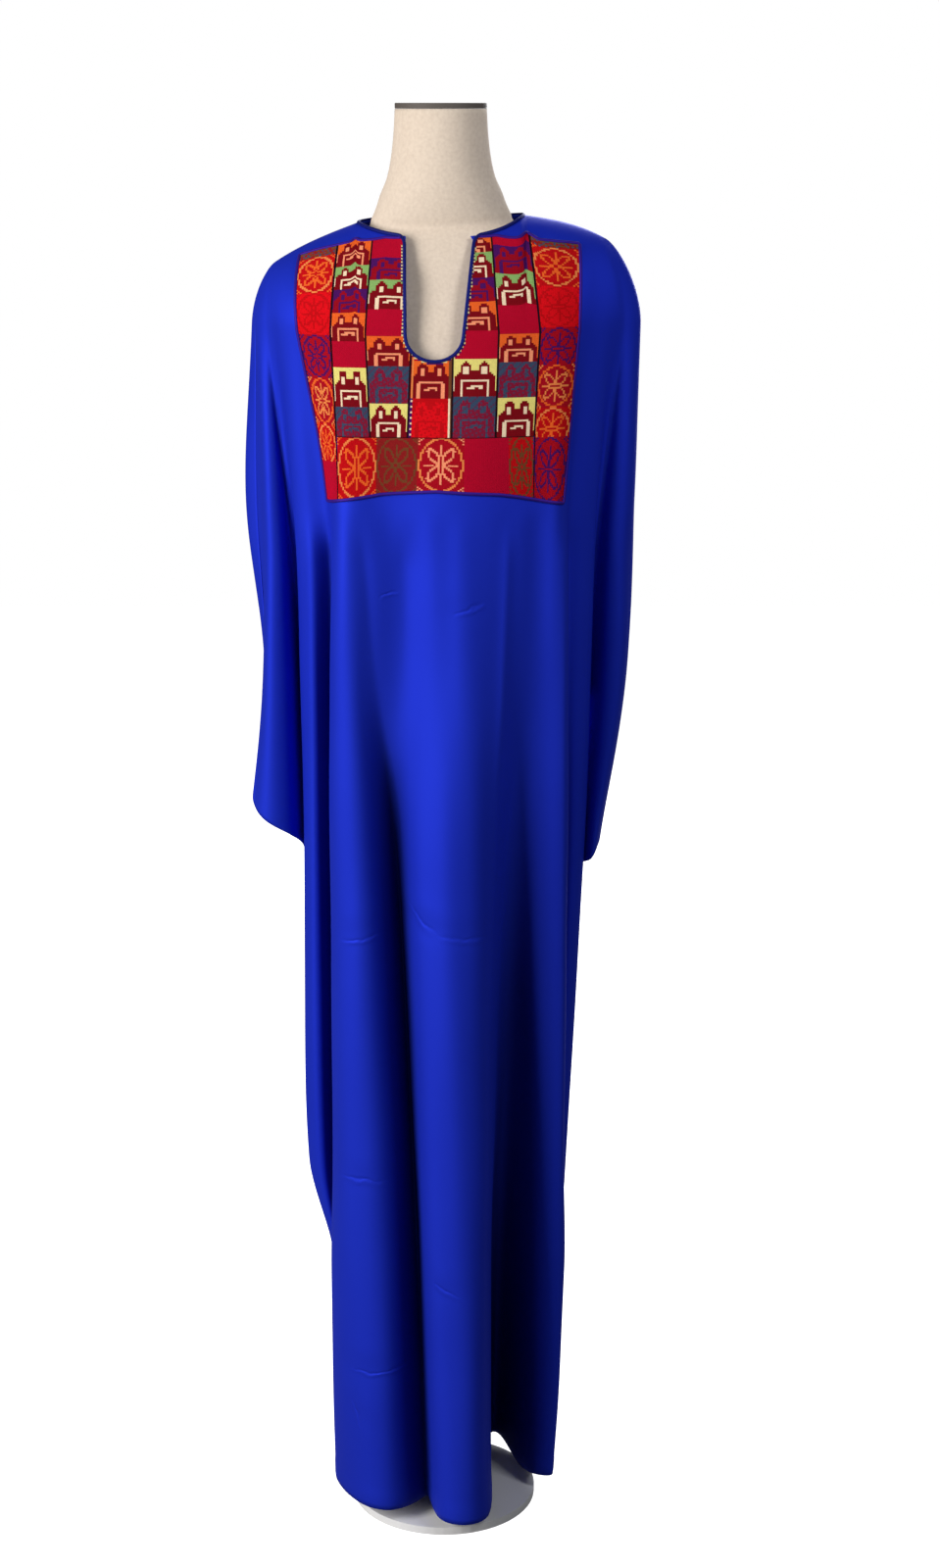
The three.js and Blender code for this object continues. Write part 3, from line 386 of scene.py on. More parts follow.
def strip_grid(strip, each, foot, count, pinches=()):
    positions = np.linspace(0, strip.last, strip.last * each + 1)
    grid = np.array([strip.column(q, fall_rows(foot(q), count)) for q in positions])
    z = grid[..., 2]
    for place, width, depths in pinches:
        middle = down(np.broadcast_to(place, len(depths)), z)
        near = np.exp(-(np.abs(positions[:, None] - middle) / width) ** 1.5)
        grid[..., 1] -= strip.facing * near * down(depths, z) * ease((1244 - z) / 60)
    return grid


def sleeve_foot(side, strip):
    inner, outer = CUFF[side]
    return lambda q: mix(inner, outer, strip.share(q) ** 0.9)


# the sharpest folds: thread at each level, width in threads, extra depth in mm at each level
FRONT_PINCHES = [
    ((7.4, 7.4, 8.9, 9.3, 9.4, 9.4, 9.4), 0.6, (0, 3, 3, 16, 22, 22, 18)),
    ((10.2, 10.2, 10.2, 10.5, 10.5, 10.5, 10.5), 0.7, (0, 2, 1, -5, -8, -8, -6)),
    ((9.7, 9.7, 10.4, 10.4, 10.4, 10.4, 10.4), 0.6, (0, 2.5, 2, 0, 0, 0, 0)),
    (3.1, 0.45, (0, -4, -8, -8, -6, -4, 0)),
    (4.15, 0.6, (0, 8, 20, 24, 22, 18, 12)),
    (5.0, 0.45, (0, -1, -3, -5, -5, -5, -4)),
    ((14.0, 14.0, 14.0, 13.75, 13.1, 13.0, 12.9), 0.3, (0, -2.5, -3, -3, -3, -3, -2)),
    (18.8, 0.7, (0, -6, -10, -10, -9, -7, -5)),
    (20.1, 0.6, (0, 5, 13, 13, 11, 8, 6)),
]
LEFT_SLEEVE_PINCHES = [(1.2, 0.6, (0, 4, 8, 9)), (3.1, 0.6, (0, -1, -3, -4))]
RIGHT_SLEEVE_PINCHES = [(3.8, 0.6, (0, 4, 7, 6)), (1.9, 0.6, (0, -1, -3, -3))]
BACK_PINCHES = [
    (5.0, 0.6, (0, 2, 6, 9, 10, 10, 8)),
    (9.0, 0.6, (0, 0, 4, 8, 9, 9, 8)),
    (13.0, 0.6, (0, 2, 6, 8, 9, 9, 7)),
]


def panel_grids(strips, pinches):
    grids = []
    for side in ("left", "body", "right"):
        strip = strips[side]
        if side == "body":
            falls = round((UNDERARM - HEM) / FALL_STEP)
            grids.append(strip_grid(strip, BODY_COLUMNS, lambda q: HEM, falls, pinches))
        else:
            sharp = LEFT_SLEEVE_PINCHES if side == "left" else RIGHT_SLEEVE_PINCHES
            grids.append(strip_grid(strip, SLEEVE_COLUMNS, sleeve_foot(side, strip), SLEEVE_FALL, sharp))
    return grids


# %% [markdown]
# The three grids are joined where their edge points meet. A fold also takes light away
# from its own depth, so each point is asked how far the ridges to its left and right
# stand out above it. The result is painted into the cloth's colour later, as painted shade.

# %% Join the grids
def fold_depth(grid, facing):
    """0 on open cloth, towards 1 where ridges stand on both sides of a point."""
    x, out = grid[..., 0], facing * grid[..., 1]
    left, right = np.zeros_like(x), np.zeros_like(x)
    for k in range(1, 34):
        rise = out[:-k] - out[k:]
        far = np.hypot(rise, x[k:] - x[:-k]) + 1e-6
        left[k:] = np.maximum(left[k:], rise / far)
        right[:-k] = np.maximum(right[:-k], -rise / far)
    return left * right


def merged(grids, facing):
    """Points, faces and fold depths for grids that share their edges."""
    points = np.concatenate([g.reshape(-1, 3) for g in grids])
    depth = np.concatenate([fold_depth(g, facing).ravel() for g in grids])
    rounded = np.round(points, 2)
    _, first, same = np.unique(rounded, axis=0, return_index=True, return_inverse=True)
    same = same.reshape(-1)
    faces = []
    start = 0
    for g in grids:
        index = same[start + np.arange(g.shape[0] * g.shape[1])].reshape(g.shape[:2])
        a, b, c, d = index[:-1, :-1], index[1:, :-1], index[1:, 1:], index[:-1, 1:]
        quads = np.stack([a, d, c, b] if facing < 0 else [a, b, c, d], -1)
        faces.append(quads.reshape(-1, 4))
        start += g.shape[0] * g.shape[1]
    return points[first], np.concatenate(faces), depth[first]


front_grids = panel_grids(front, FRONT_PINCHES)
back_grids = panel_grids(back, BACK_PINCHES)
print("front points:", sum(g.shape[0] * g.shape[1] for g in front_grids))

# %% [markdown]
# Satin crepe that has been folded keeps a few crossing creases, and between the main
# folds it still waves a little. Each crease is a soft trough with a ridge beside it, at a
# listed place. The waves are sums of long sines with a fixed seed.

# %% Creases and gentle waves
# x, z, slope in degrees, half length, half width, depth, all in millimetres
FRONT_CREASES = [
    (-26, 776, -34, 30, 9, 1.0),
    (22, 764, -8, 34, 10, 0.8),
    (-96, 756, 9, 30, 10, 0.6),
    (24, 1140, 22, 26, 9, 0.5),
    (-88, 456, -2, 32, 10, 0.6),
    (0, 328, -14, 24, 9, 0.6),
    (-88, 210, 3, 40, 10, 0.7),
    (-104, 150, -58, 22, 9, 0.7),
]
BACK_CREASES = [
    (-70, 900, 10, 44, 12, 0.8),
    (30, 860, -12, 40, 11, 0.7),
    (84, 640, 6, 36, 10, 0.6),
    (-20, 560, -8, 44, 12, 0.7),
    (-90, 430, 14, 36, 10, 0.6),
    (50, 380, -4, 40, 10, 0.6),
    (0, 1180, 12, 40, 12, 0.5),
]


# wave length across, wave length down, height, all in millimetres
WAVES = ((52, 900, 0.34), (33, 700, 0.2), (90, 460, 0.3), (130, 260, 0.2))


def crease_height(x, z, table):
    total = np.zeros_like(x)
    for cx, cz, slope, length, width, depth in table:
        a = math.radians(slope)
        along = ((x - cx) * math.cos(a) + (z - cz) * math.sin(a)) / length
        over = (-(x - cx) * math.sin(a) + (z - cz) * math.cos(a) - 3 * along**2) / width
        trough = np.exp(-0.5 * over**2) - 0.55 * np.exp(-0.5 * ((over - 2.1) / 1.3) ** 2)
        total -= depth * trough * np.exp(-0.5 * (along / 0.55) ** 2)
    return total


def wave_height(x, z, seed):
    rng = np.random.default_rng(seed)
    total = np.zeros_like(x)
    for wide, tall, height in WAVES:
        for _ in range(2):
            a, b = rng.uniform(0, 2 * math.pi, 2)
            bend = 0.6 * np.sin(2 * math.pi * z / (tall * 2.3) + b)
            across = np.sin(2 * math.pi * x / wide + bend + a)
            total += height * across * np.sin(2 * math.pi * z / tall + b)
    return total


# %% [markdown]
# The neck slit is cut after the panel is laid out, the way a maker cuts it. Faces inside
# the outline go, and the points left standing inside slide onto the line. The binding
# then covers the cut edge.

# %% Neck slit
SLIT = {"left": -38, "left_low": -37, "right": 36, "right_low": 24, "round": 1437, "top": 1542, "fall": 27}


def slit_outline(d, steps=24):
    cx = (SLIT["left_low"] + SLIT["right_low"]) / 2
    rx = (SLIT["right_low"] - SLIT["left_low"]) / 2 + d
    a = np.linspace(0, math.pi, steps + 1)
    bowl = np.stack([cx - rx * np.cos(a), SLIT["round"] - (SLIT["fall"] + d) * np.sin(a)], -1)
    t = np.linspace(0, 1, 14)[:-1, None]
    left_top = np.array([SLIT["left"] - d, SLIT["top"]])
    right_top = np.array([SLIT["right"] + d, SLIT["top"]])
    left = mix(left_top, bowl[0], t)
    right = mix(right_top, bowl[-1], t)[::-1]
    return np.concatenate([left, bowl, right])


def slit_distance(x, z, d=0.0):
    """Nearest outline point and a signed distance, below zero inside the slit."""
    line = slit_outline(d)
    p = np.stack([x, z], -1)[:, None, :]
    a, b = line[:-1], line[1:]
    run = b - a
    t = np.clip(((p - a) * run).sum(-1) / (run**2).sum(-1), 0, 1)
    near = a + run * t[..., None]
    gap = np.linalg.norm(p - near, axis=-1)
    k = gap.argmin(-1)
    rows = np.arange(len(k))
    side = run[k, 0] * (p[:, 0, 1] - a[k, 1]) - run[k, 1] * (p[:, 0, 0] - a[k, 0])
    return near[rows, k], np.where(side > 0, -1, 1) * gap[rows, k]


def cut_slit(points, faces):
    is_near = (abs(points[:, 0]) < 60) & (points[:, 2] > 1390) & (points[:, 1] < 0)
    gap = np.full(len(points), 99.0)
    nearest = points[:, [0, 2]].copy()
    nearest[is_near], gap[is_near] = slit_distance(points[is_near, 0], points[is_near, 2])
    inside = gap < 0.8
    kept = faces[~inside[faces].all(-1)]
    moved = inside & (gap < 12) & np.isin(np.arange(len(points)), kept)
    moved &= points[:, 2] < SLIT["top"] - 4
    points[moved, 0] = nearest[moved, 0]
    points[moved, 2] = nearest[moved, 1]
    return points, kept


sample = np.array([-1.0, -60.0]), np.array([1480.0, 1480.0])
print("inside and outside:", slit_distance(*sample)[1].round(1))

# %% [markdown]
# Every piece is built from numbers: points in millimetres and faces that join them. The
# helpers below turn them into a mesh, give a sheet its thickness and say which packed
# solid a piece dresses. Modifiers keep the sheet itself easy to change.

# %% Build helpers
def make_mesh(name, points, faces, smooth=lambda corners: True):
    """A mesh from points in millimetres; smooth says from its corner count if a face is soft."""
    mesh = bpy.data.meshes.new(name)
    mesh.from_pydata((np.asarray(points) * MM).tolist(), [], faces)
    mesh.polygons.foreach_set("use_smooth", [smooth(len(face)) for face in faces])
    mesh.update()
    thing = bpy.data.objects.new(name, mesh)
    bpy.context.scene.collection.objects.link(thing)
    return thing


def only_quads(corners):
    return corners == 4


def dresses(thing, node):
    """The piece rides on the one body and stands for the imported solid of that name."""
    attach(thing, "root")
    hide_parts(node)


def drop_loose(points, faces):
    used, index = np.unique(faces, return_inverse=True)
    return points[used], index.reshape(faces.shape)


def give_thickness(thing, thickness, offset=-1):
    """A wall of even thickness. Offset -1 puts all of it behind the face."""
    wall = thing.modifiers.new("thickness", "SOLIDIFY")
    wall.thickness = thickness * MM
    wall.offset = offset
    wall.use_even_offset = False
    wall.use_rim = True
    return wall


def vertex_normals(mesh):
    values = np.zeros(len(mesh.vertices) * 3)
    mesh.vertex_normals.foreach_get("vector", values)
    return values.reshape(-1, 3)


# %% [markdown]
# Now the two panels are made. The waves fade out near the shoulder, where the cloth lies
# on the form, and on the chest, where the patchwork holds it flat. The last centimetres
# before the hem stand up slightly because the cloth is turned there. Each point also keeps
# a painted shade: its colour is darker where ridges stand on both sides, since little light gets into a
# fold.

# %% Front and back panels
CLOTH = 0.9
HEM_RISE = 0.5
# how fast the painted shade darkens with the depth of a fold, and the darkest it gets
SHADE_FALL, DARKEST = 1.3, 0.4


def dress(points, normals, facing, seed, creases):
    x, z = points[:, 0], points[:, 2]
    free = ease((1390 - z) / 160)
    if facing < 0:
        chest = ease((160 - abs(x)) / 12) * ease((z - 1225) / 30)
        free = free * (1 - chest)
    faces_out = ease((facing * normals[:, 1] - 0.1) / 0.4)
    height = wave_height(x, z, seed) * free
    height += crease_height(x, z, creases) * faces_out * free
    height += HEM_RISE * ease((HEM + 24 - z) / 3) * ease((z - HEM - 1) / 2)
    return points + normals * height[:, None]


def make_panel(name, node, grids, facing, seed, creases):
    points, faces, depth = merged(grids, facing)
    flat = make_mesh(name + "_plain", points, faces.tolist())
    normals = vertex_normals(flat.data)
    bpy.data.objects.remove(flat)
    points = dress(points, normals, facing, seed, creases)
    if facing < 0:
        points, faces = cut_slit(points, faces)
    depth = depth[np.unique(faces)]
    points, faces = drop_loose(points, faces)
    thing = make_mesh(name, points, faces.tolist())
    # painted shade for the folds, carried by the mesh and multiplied into the cloth's colour
    shade = np.clip(1 - SHADE_FALL * depth, DARKEST, 1)
    layer = thing.data.color_attributes.new("fold shade", "FLOAT_COLOR", "POINT")
    layer.data.foreach_set("color", np.stack([shade, shade, shade, np.ones_like(shade)], -1).ravel())
    give_thickness(thing, CLOTH)
    dresses(thing, node)
    print(name, len(points), "points", len(faces), "faces")
    return thing


front_cloth = make_panel("front_cloth", "front_panel", front_grids, -1, 11, FRONT_CREASES)
back_cloth = make_panel("back_cloth", "back_panel", back_grids, 1, 23, BACK_CREASES)

# %% [markdown]
# The patchwork is cross-stitch: small crossed stitches on an even grid. Here each stitch
# is one cell with a raised cross. The cells follow the same threads as the cloth below,
# so the patchwork bends with the chest. Colours come from charts drawn as rows of letters.

# %% Stitch grid
STITCH = 2.0
UNDER_PIPING = 1.1
BIB, YOKE_FOOT = 1328, 1252
BIB_ROW, CHEST_ROW, TOP_ROW = 38, 94, 148
body = front["body"]
# where the patchwork ends above: thread, and how far down the shoulder curve
TOP_EDGE = np.array([
    (-160, 0.20), (-150, 0.22), (-116, 0.28), (-97, 0.30), (-78, 0.17), (-60, 0.07), (-38, 0.03),
    (35, 0.02), (60, 0.07), (84, 0.24), (107, 0.34), (128, 0.33), (149, 0.30), (160, 0.30),
])
# the foot of the patchwork curves up in the middle: thread, rise in mm
FOOT_RISE = np.array([
    (-160, 0), (-151, 0), (-116, 6), (-60, 14), (0, 18), (60, 14), (107, 6), (145, 0), (160, 0),
])
# upright seams: the thread each one follows at the foot, the bib, the chest and the top
LINES = {
    "outer left": (-150, -151, -156, -153),
    "in left": (-115, -116, -119, -112),
    "split left": (-76, -76, -81, -74),
    "slit left": (-31, -31, -31, -31),
    "slit right": (14, 14, 14, 14),
    "split right": (58, 58, 63, 55),
    "in right": (101, 102, 108, 96),
    "outer right": (140, 145, 151, 149),
}


def stitch_rows(x):
    """Points at each half row of one thread, from the foot of the patchwork up."""
    w = np.concatenate([np.linspace(0.0, 1, 60), 1 + np.arange(2, 200, 2) / 1000])
    q = body.find(x)
    line = body.column(q, w)
    run = np.concatenate([[0], np.cumsum(np.linalg.norm(np.diff(line, axis=0), axis=1))])
    top = np.interp(x, TOP_EDGE[:, 0], TOP_EDGE[:, 1])
    foot = YOKE_FOOT + np.interp(x, FOOT_RISE[:, 0], FOOT_RISE[:, 1])
    at = np.interp([1 + (1440 - foot) / 1000, 1 + (1440 - BIB) / 1000, 1.0, top], w, run)
    rows = np.arange(2 * TOP_ROW + 1) / 2
    stops = np.interp(rows, [0, BIB_ROW, CHEST_ROW, TOP_ROW], at)
    return body.column(q, np.interp(stops, run, w))


YOKE_X = np.arange(-160, 158, 2.0)
YOKE_SHEET = np.array([stitch_rows(x) for x in YOKE_X])


def on_yoke(x, row):
    """Point of the chest at thread x and stitch row; both may be arrays of one shape."""
    i = np.clip((x - YOKE_X[0]) / 2.0, 0, len(YOKE_X) - 1.001)
    j = np.clip(row * 2, 0, 2 * TOP_ROW - 0.001)
    a, b = i.astype(int), j.astype(int)
    f, g = (i - a)[..., None], (j - b)[..., None]
    low = mix(YOKE_SHEET[a, b], YOKE_SHEET[a + 1, b], f)
    high = mix(YOKE_SHEET[a, b + 1], YOKE_SHEET[a + 1, b + 1], f)
    return mix(low, high, g)


def on_yoke_normal(x, row):
    across = on_yoke(x + 3, row) - on_yoke(x - 3, row)
    up = on_yoke(x, np.minimum(row + 1.5, TOP_ROW)) - on_yoke(x, np.maximum(row - 1.5, 0))
    return unit(np.cross(across, up))


def line_at(name, row):
    return np.interp(row, [0, BIB_ROW, CHEST_ROW, TOP_ROW], LINES[name])


print("middle of the chest:", on_yoke(np.array([0.0]), np.array([82.0])).round(1))

# %% [markdown]
# Two motifs fill the patches: a gate of two arches over a hooked box, and a wheel with
# four petals and four spokes. Both are plain geometric figures in the family of village
# cross-stitch. Each is drawn by rule, so it fits a patch of any size. The dot stands for
# the ground, and the letters a and b for the first and second thread.

# %% Motifs
def gate_cell(i, j, wide, tall):
    """Thread letter at column i and row j from the top of a patch."""
    x = i - (wide - 1) / 2
    d = abs(x)
    rim = (wide - 1) / 2
    down = j / (tall - 1)
    arch = 0.2 * wide
    half = 0.125 * wide * math.sqrt(min(1, max(0, down - 0.05) / 0.13))
    floor = 0.3 if d < arch else 0.16 + 0.34 * (d - arch) / (rim - arch)
    if abs(d - arch) < 1.1 and 0.2 < down < 0.42:
        return "b"
    if down < floor and abs(d - arch) >= half:
        return "a"
    if d > rim - 0.8 and 0.4 < down < 0.86:
        return "b" if x < 0 else "a"
    box = round(0.55 * tall)
    side = round(0.27 * wide) + 0.5
    if j == box and d <= side:
        return "b"
    if j > box and abs(d - side) < 0.55:
        return "b"
    hook = box + max(2, round(0.14 * tall))
    if j == hook and -1.6 < x < 3.6:
        return "b"
    if j == hook + 1 and (-3.6 < x < -0.4 or 2.4 < x < 3.6):
        return "b"
    return "."


def wheel_cell(i, j, wide, tall):
    """A rim, four oval petals on the diagonals and four short spokes."""
    a, b = wide / 2 - 0.8, tall / 2 - 0.8
    x, y = (i + 0.5 - wide / 2) / a, (j + 0.5 - tall / 2) / b
    r = max(math.hypot(x, y), 1e-6)
    steep = max(math.hypot(x / a, y / b) / r, 1e-6)
    if abs(r - 1) / steep < 0.56:
        return "a"
    u, v = (abs(x) + abs(y)) / math.sqrt(2), abs(abs(x) - abs(y)) / math.sqrt(2)
    thin = 0.5 / min(a, b)
    along, over = (u - 0.47) / 0.35, v / 0.17
    oval = max(math.hypot(along, over), 1e-6)
    slope = max(math.hypot(along / 0.35, over / 0.17) / oval, 1e-6)
    if abs(oval - 1) / slope < thin:
        return "b"
    if (i == wide // 2 or j == tall // 2) and 0.34 < r < 0.78:
        return "b"
    if r > 1.27 and (i + j) % 2 == 0:
        return "b"
    return "."


def plain_cell(i, j, wide, tall):
    return "."


def shade_cell(i, j, wide, tall):
    """The gate in blurred tones: its thread alternates with the ground."""
    letter = gate_cell(i, j, wide, tall)
    if letter == ".":
        return "b" if (i + 2 * j) % 5 == 0 else "."
    return "a" if (i + j) % 4 else "b"


# %% [markdown]
# Cotton thread is dyed in a few strong colours, and the patchwork gets its life from how
# they meet. The colours are named once as they look on a screen. Blender works in light,
# so each is turned into light before it is used.

# %% Thread colours
def from_screen(*rgb):
    """Screen colour 0 to 255, turned into light."""
    c = np.array(rgb) / 255
    return np.where(c <= 0.04045, c / 12.92, ((c + 0.055) / 1.055) ** 2.4)


THREADS = {
    "maroon": from_screen(122, 4, 18),
    "wine": from_screen(146, 4, 28),
    "garnet": from_screen(166, 6, 28),
    "crimson": from_screen(176, 2, 40),
    "red": from_screen(186, 6, 16),
    "bright": from_screen(214, 8, 22),
    "orange": from_screen(226, 98, 36),
    "amber": from_screen(226, 132, 70),
    "cream": from_screen(220, 206, 146),
    "pale": from_screen(236, 214, 182),
    "lemon": from_screen(226, 214, 124),
    "green": from_screen(134, 172, 100),
    "purple": from_screen(72, 14, 92),
    "plum": from_screen(130, 20, 50),
    "slate": from_screen(84, 48, 78),
    "peach": from_screen(238, 150, 110),
    "teal": from_screen(52, 72, 98),
    "olive": from_screen(112, 64, 36),
    "brown": from_screen(140, 26, 28),
    "dark": from_screen(28, 6, 16),
}
# each look: the drawing, the ground, the first colour, the second colour
LOOKS = {
    "orange gate": (gate_cell, "maroon", "orange", "peach"),
    "fire gate": (gate_cell, "maroon", "orange", "peach"),
    "green gate": (gate_cell, "maroon", "green", "pale"),
    "lemon gate": (gate_cell, "maroon", "lemon", "pale"),
    "purple gate": (gate_cell, "wine", "purple", "purple"),
    "teal gate": (shade_cell, "plum", "teal", "slate"),
    "crimson": (plain_cell, "crimson", "crimson", "crimson"),
    "bright": (shade_cell, "bright", "red", "red"),
    "orange wheel": (wheel_cell, "red", "amber", "orange"),
    "amber wheel": (wheel_cell, "garnet", "orange", "amber"),
    "lemon wheel": (wheel_cell, "garnet", "amber", "peach"),
    "red wheel": (wheel_cell, "bright", "red", "red"),
    "purple wheel": (wheel_cell, "garnet", "purple", "purple"),
    "olive wheel": (wheel_cell, "brown", "olive", "olive"),
    "red olive wheel": (wheel_cell, "red", "olive", "olive"),
    "rust": (shade_cell, "brown", "olive", "teal"),
}
print(len(THREADS), "threads,", len(LOOKS), "looks")

# %% [markdown]
# The patchwork is planned like the real one, strip by strip. Each strip lists its
# patches from the top down, with the stitch row where each one starts.

# %% Plan of the patches
STRIPS = {
    "yoke_side_left": [
        ("outer left", "in left", 19, [
            (148, "rust"), (141, "orange wheel"), (116, "red wheel"), (92, "purple wheel"),
            (69, "amber wheel"), (44, "orange wheel"), (23, "crimson"),
        ]),
    ],
    "yoke_left": [
        ("in left", "split left", 20, [
            (148, "orange gate"), (131, "green gate"), (117, "purple gate"), (104, "orange gate"),
            (89, "crimson"), (75, "lemon gate"), (54, "teal gate"),
        ]),
        ("split left", "slit left", 23, [
            (148, "crimson"), (135, "purple gate"), (122, "green gate"), (106, "crimson"),
            (92, "orange gate"), (76, "teal gate"), (56, "lemon gate"),
        ]),
    ],
    "yoke_centre": [
        ("slit left", "slit right", 23, [(94, "crimson"), (79, "fire gate"), (59, "bright")]),
    ],
    "yoke_right": [
        ("slit right", "split right", 22, [
            (148, "orange gate"), (138, "green gate"), (123, "purple gate"), (110, "orange gate"),
            (95, "crimson"), (80, "lemon gate"), (60, "teal gate"),
        ]),
        ("split right", "in right", 21, [
            (148, "crimson"), (142, "purple gate"), (125, "green gate"), (108, "crimson"),
            (93, "orange gate"), (78, "teal gate"), (59, "lemon gate"),
        ]),
    ],
    "yoke_side_right": [
        ("in right", "outer right", 22, [
            (148, "rust"), (143, "orange wheel"), (119, "red wheel"), (96, "purple wheel"),
            (76, "amber wheel"), (53, "orange wheel"), (37, "purple wheel"),
        ]),
    ],
}
BOTTOM = [
    (-115, 23, "orange wheel"), (-68, 24, "olive wheel"), (-19, 23, "lemon wheel"), (27, 22, "crimson"),
    (71, 15, "red olive wheel"),
]
BOTTOM_END = 101
print(sum(len(strip[3]) for strips in STRIPS.values() for strip in strips) + len(BOTTOM), "patches planned")

# %% [markdown]
# From the plan comes a chart: the name of a thread for every stitch of a strip. The
# column under the slit has two narrow bands of another thread at each side.

# %% Charts
# a wheel is drawn at least this many rows tall, and a shorter patch cuts its foot off
WHEEL_ROWS = 23


def block_rows(plan, low):
    """Each patch as top row, bottom row and look."""
    edges = [row for row, _ in plan] + [low]
    return [(edges[k], edges[k + 1], look) for k, (_, look) in enumerate(plan)]


def cell_colour(look, i, j, wide, tall):
    draw, ground, first, second = LOOKS[look]
    return {".": ground, "a": first, "b": second}[draw(i, j, wide, tall)]


def strip_colours(plan, columns, low, top):
    """Thread name for each cell, by column and by row from the bottom."""
    table = [[""] * (top - low) for _ in range(columns)]
    for high, bottom, look in block_rows(plan, low):
        tall = high - bottom
        if look.endswith("wheel"):
            tall = max(tall, WHEEL_ROWS)
        for i in range(columns):
            for row in range(bottom, high):
                table[i][row - low] = cell_colour(look, i, high - 1 - row, columns, tall)
    return table


def add_side_bands(table, half):
    """Two narrow bands at each side: dull thread above the half row, pale dots below it."""
    for k, name in ((0, "purple"), (1, "pale"), (-1, "olive"), (-2, "olive")):
        for row in range(len(table[0])):
            low = row < half
            if k == 1:
                table[k][row] = ("pale" if row % 3 == 1 else "purple") if low else "amber"
            elif k == -2:
                table[k][row] = "pale" if low else "olive"
            elif k == 0:
                table[k][row] = "purple" if low else "maroon"
            else:
                table[k][row] = name
    return table


sample_chart = strip_colours([(BIB_ROW, "olive wheel")], 24, 0, BIB_ROW)
print("threads in one wheel:", sorted({name for line in sample_chart for name in line}))

# %% [markdown]
# Each stitch is nine points: a high middle, four corners and four low edges, joined as
# eight triangles. The ridges from corner to corner read as crossed threads. Half a stitch
# along each seam is darkened, which gives the thin black lines between the strips.

# %% Stitches of one strip
NAMES = list(THREADS)
# the eight points round a stitch, and which of its eight triangles lie at each side
RING = [(0, 0), (1, 0), (2, 0), (2, 1), (2, 2), (1, 2), (0, 2), (0, 1)]
HALF = {"left": [0, 5, 6, 7], "right": [1, 2, 3, 4], "top": [3, 4, 5, 6]}
# heights over the cloth: the foot of a stitch, then its middle and its corners above that
PATCH_LIFT = 0.75
MIDDLE_RISE, CORNER_RISE = 0.5, 0.28
# the patchwork ends this far from the slit
SLIT_EDGE = 2.0


def stitch_faces(columns, rows):
    i, j = np.meshgrid(np.arange(columns), np.arange(rows), indexing="ij")
    tall = 2 * rows + 1
    middle = (2 * i + 1) * tall + 2 * j + 1
    corner = [(2 * i + a) * tall + 2 * j + b for a, b in RING]
    parts = [np.stack([middle, corner[k], corner[(k + 1) % 8]], -1) for k in range(8)]
    return np.stack(parts, 2)


def sew_strip(line_a, line_b, columns, table, low, top, dark, inset):
    """Points, faces and thread numbers of one strip."""
    rows = top - low
    a2, b2 = np.meshgrid(np.arange(2 * columns + 1), np.arange(2 * rows + 1), indexing="ij")
    row = low + b2 / 2
    x = mix(line_a(row) + inset[0], line_b(row) - inset[1], a2 / (2 * columns))
    odd = (a2 % 2) + (b2 % 2)
    lift = PATCH_LIFT + np.where(odd == 2, MIDDLE_RISE, np.where(odd == 1, 0.0, CORNER_RISE))
    points = on_yoke(x, row) + on_yoke_normal(x, row) * lift[..., None]
    faces = stitch_faces(columns, rows)
    threads = np.array([[NAMES.index(name) for name in line] for line in table])
    threads = np.repeat(threads[:, :, None], 8, axis=2)
    middle = points[1::2, 1::2]
    _, gap = slit_distance(middle[..., 0].ravel(), middle[..., 2].ravel(), SLIT_EDGE)
    gap = gap.reshape(columns, rows)
    beside = (gap > 0) & (gap < STITCH) & (middle[..., 2] < 1530)
    pale = (np.arange(rows) % 2 == 0)[None, :] & beside
    threads[beside] = NAMES.index("purple")
    threads[pale] = NAMES.index("cream")
    for side in dark:
        part = {"left": (0, slice(None)), "right": (-1, slice(None)), "top": (slice(None), -1)}[side]
        for k in HALF[side]:
            threads[part + (k,)] = NAMES.index("dark")
    return points.reshape(-1, 3), faces.reshape(-1, 3), threads.reshape(-1)


def trim_to_slit(points, faces, threads):
    nearest, gap = slit_distance(points[:, 0], points[:, 2], SLIT_EDGE)
    inside = (gap < 0) & (abs(points[:, 0]) < 60)
    keep = ~inside[faces].all(-1)
    faces, threads = faces[keep], threads[keep]
    moved = inside & (points[:, 2] < SLIT["top"] - 4)
    points[moved, 0] = nearest[moved, 0]
    points[moved, 2] = nearest[moved, 1]
    return points, faces, threads


# %% [markdown]
# The strips of one colour block are joined into one piece, as they are sewn in the real
# one. The border gets low walls, so that the patch has an edge of its own where it lies
# on the cloth. Each face keeps the colour of its thread.

# %% Sew the patchwork
PATCH_WALL = 0.6


def make_patchwork(node, parts):
    points, faces, threads = [], [], []
    start = 0
    for p, f, t in parts:
        points.append(p)
        faces.append(f + start)
        threads.append(t)
        start += len(p)
    points, faces, threads = (np.concatenate(values) for values in (points, faces, threads))
    points, faces, threads = trim_to_slit(points, faces, threads)
    points, faces = drop_loose(points, faces)
    points, faces, threads = add_walls(points, faces, threads, PATCH_WALL)
    thing = make_mesh("stitched_" + node, points, faces.tolist(), only_quads)
    dye = np.array([list(THREADS[name]) + [1] for name in NAMES])[np.repeat(threads, 3)]
    layer = thing.data.color_attributes.new("thread", "FLOAT_COLOR", "CORNER")
    layer.data.foreach_set("color", dye.ravel())
    dresses(thing, node)
    return thing


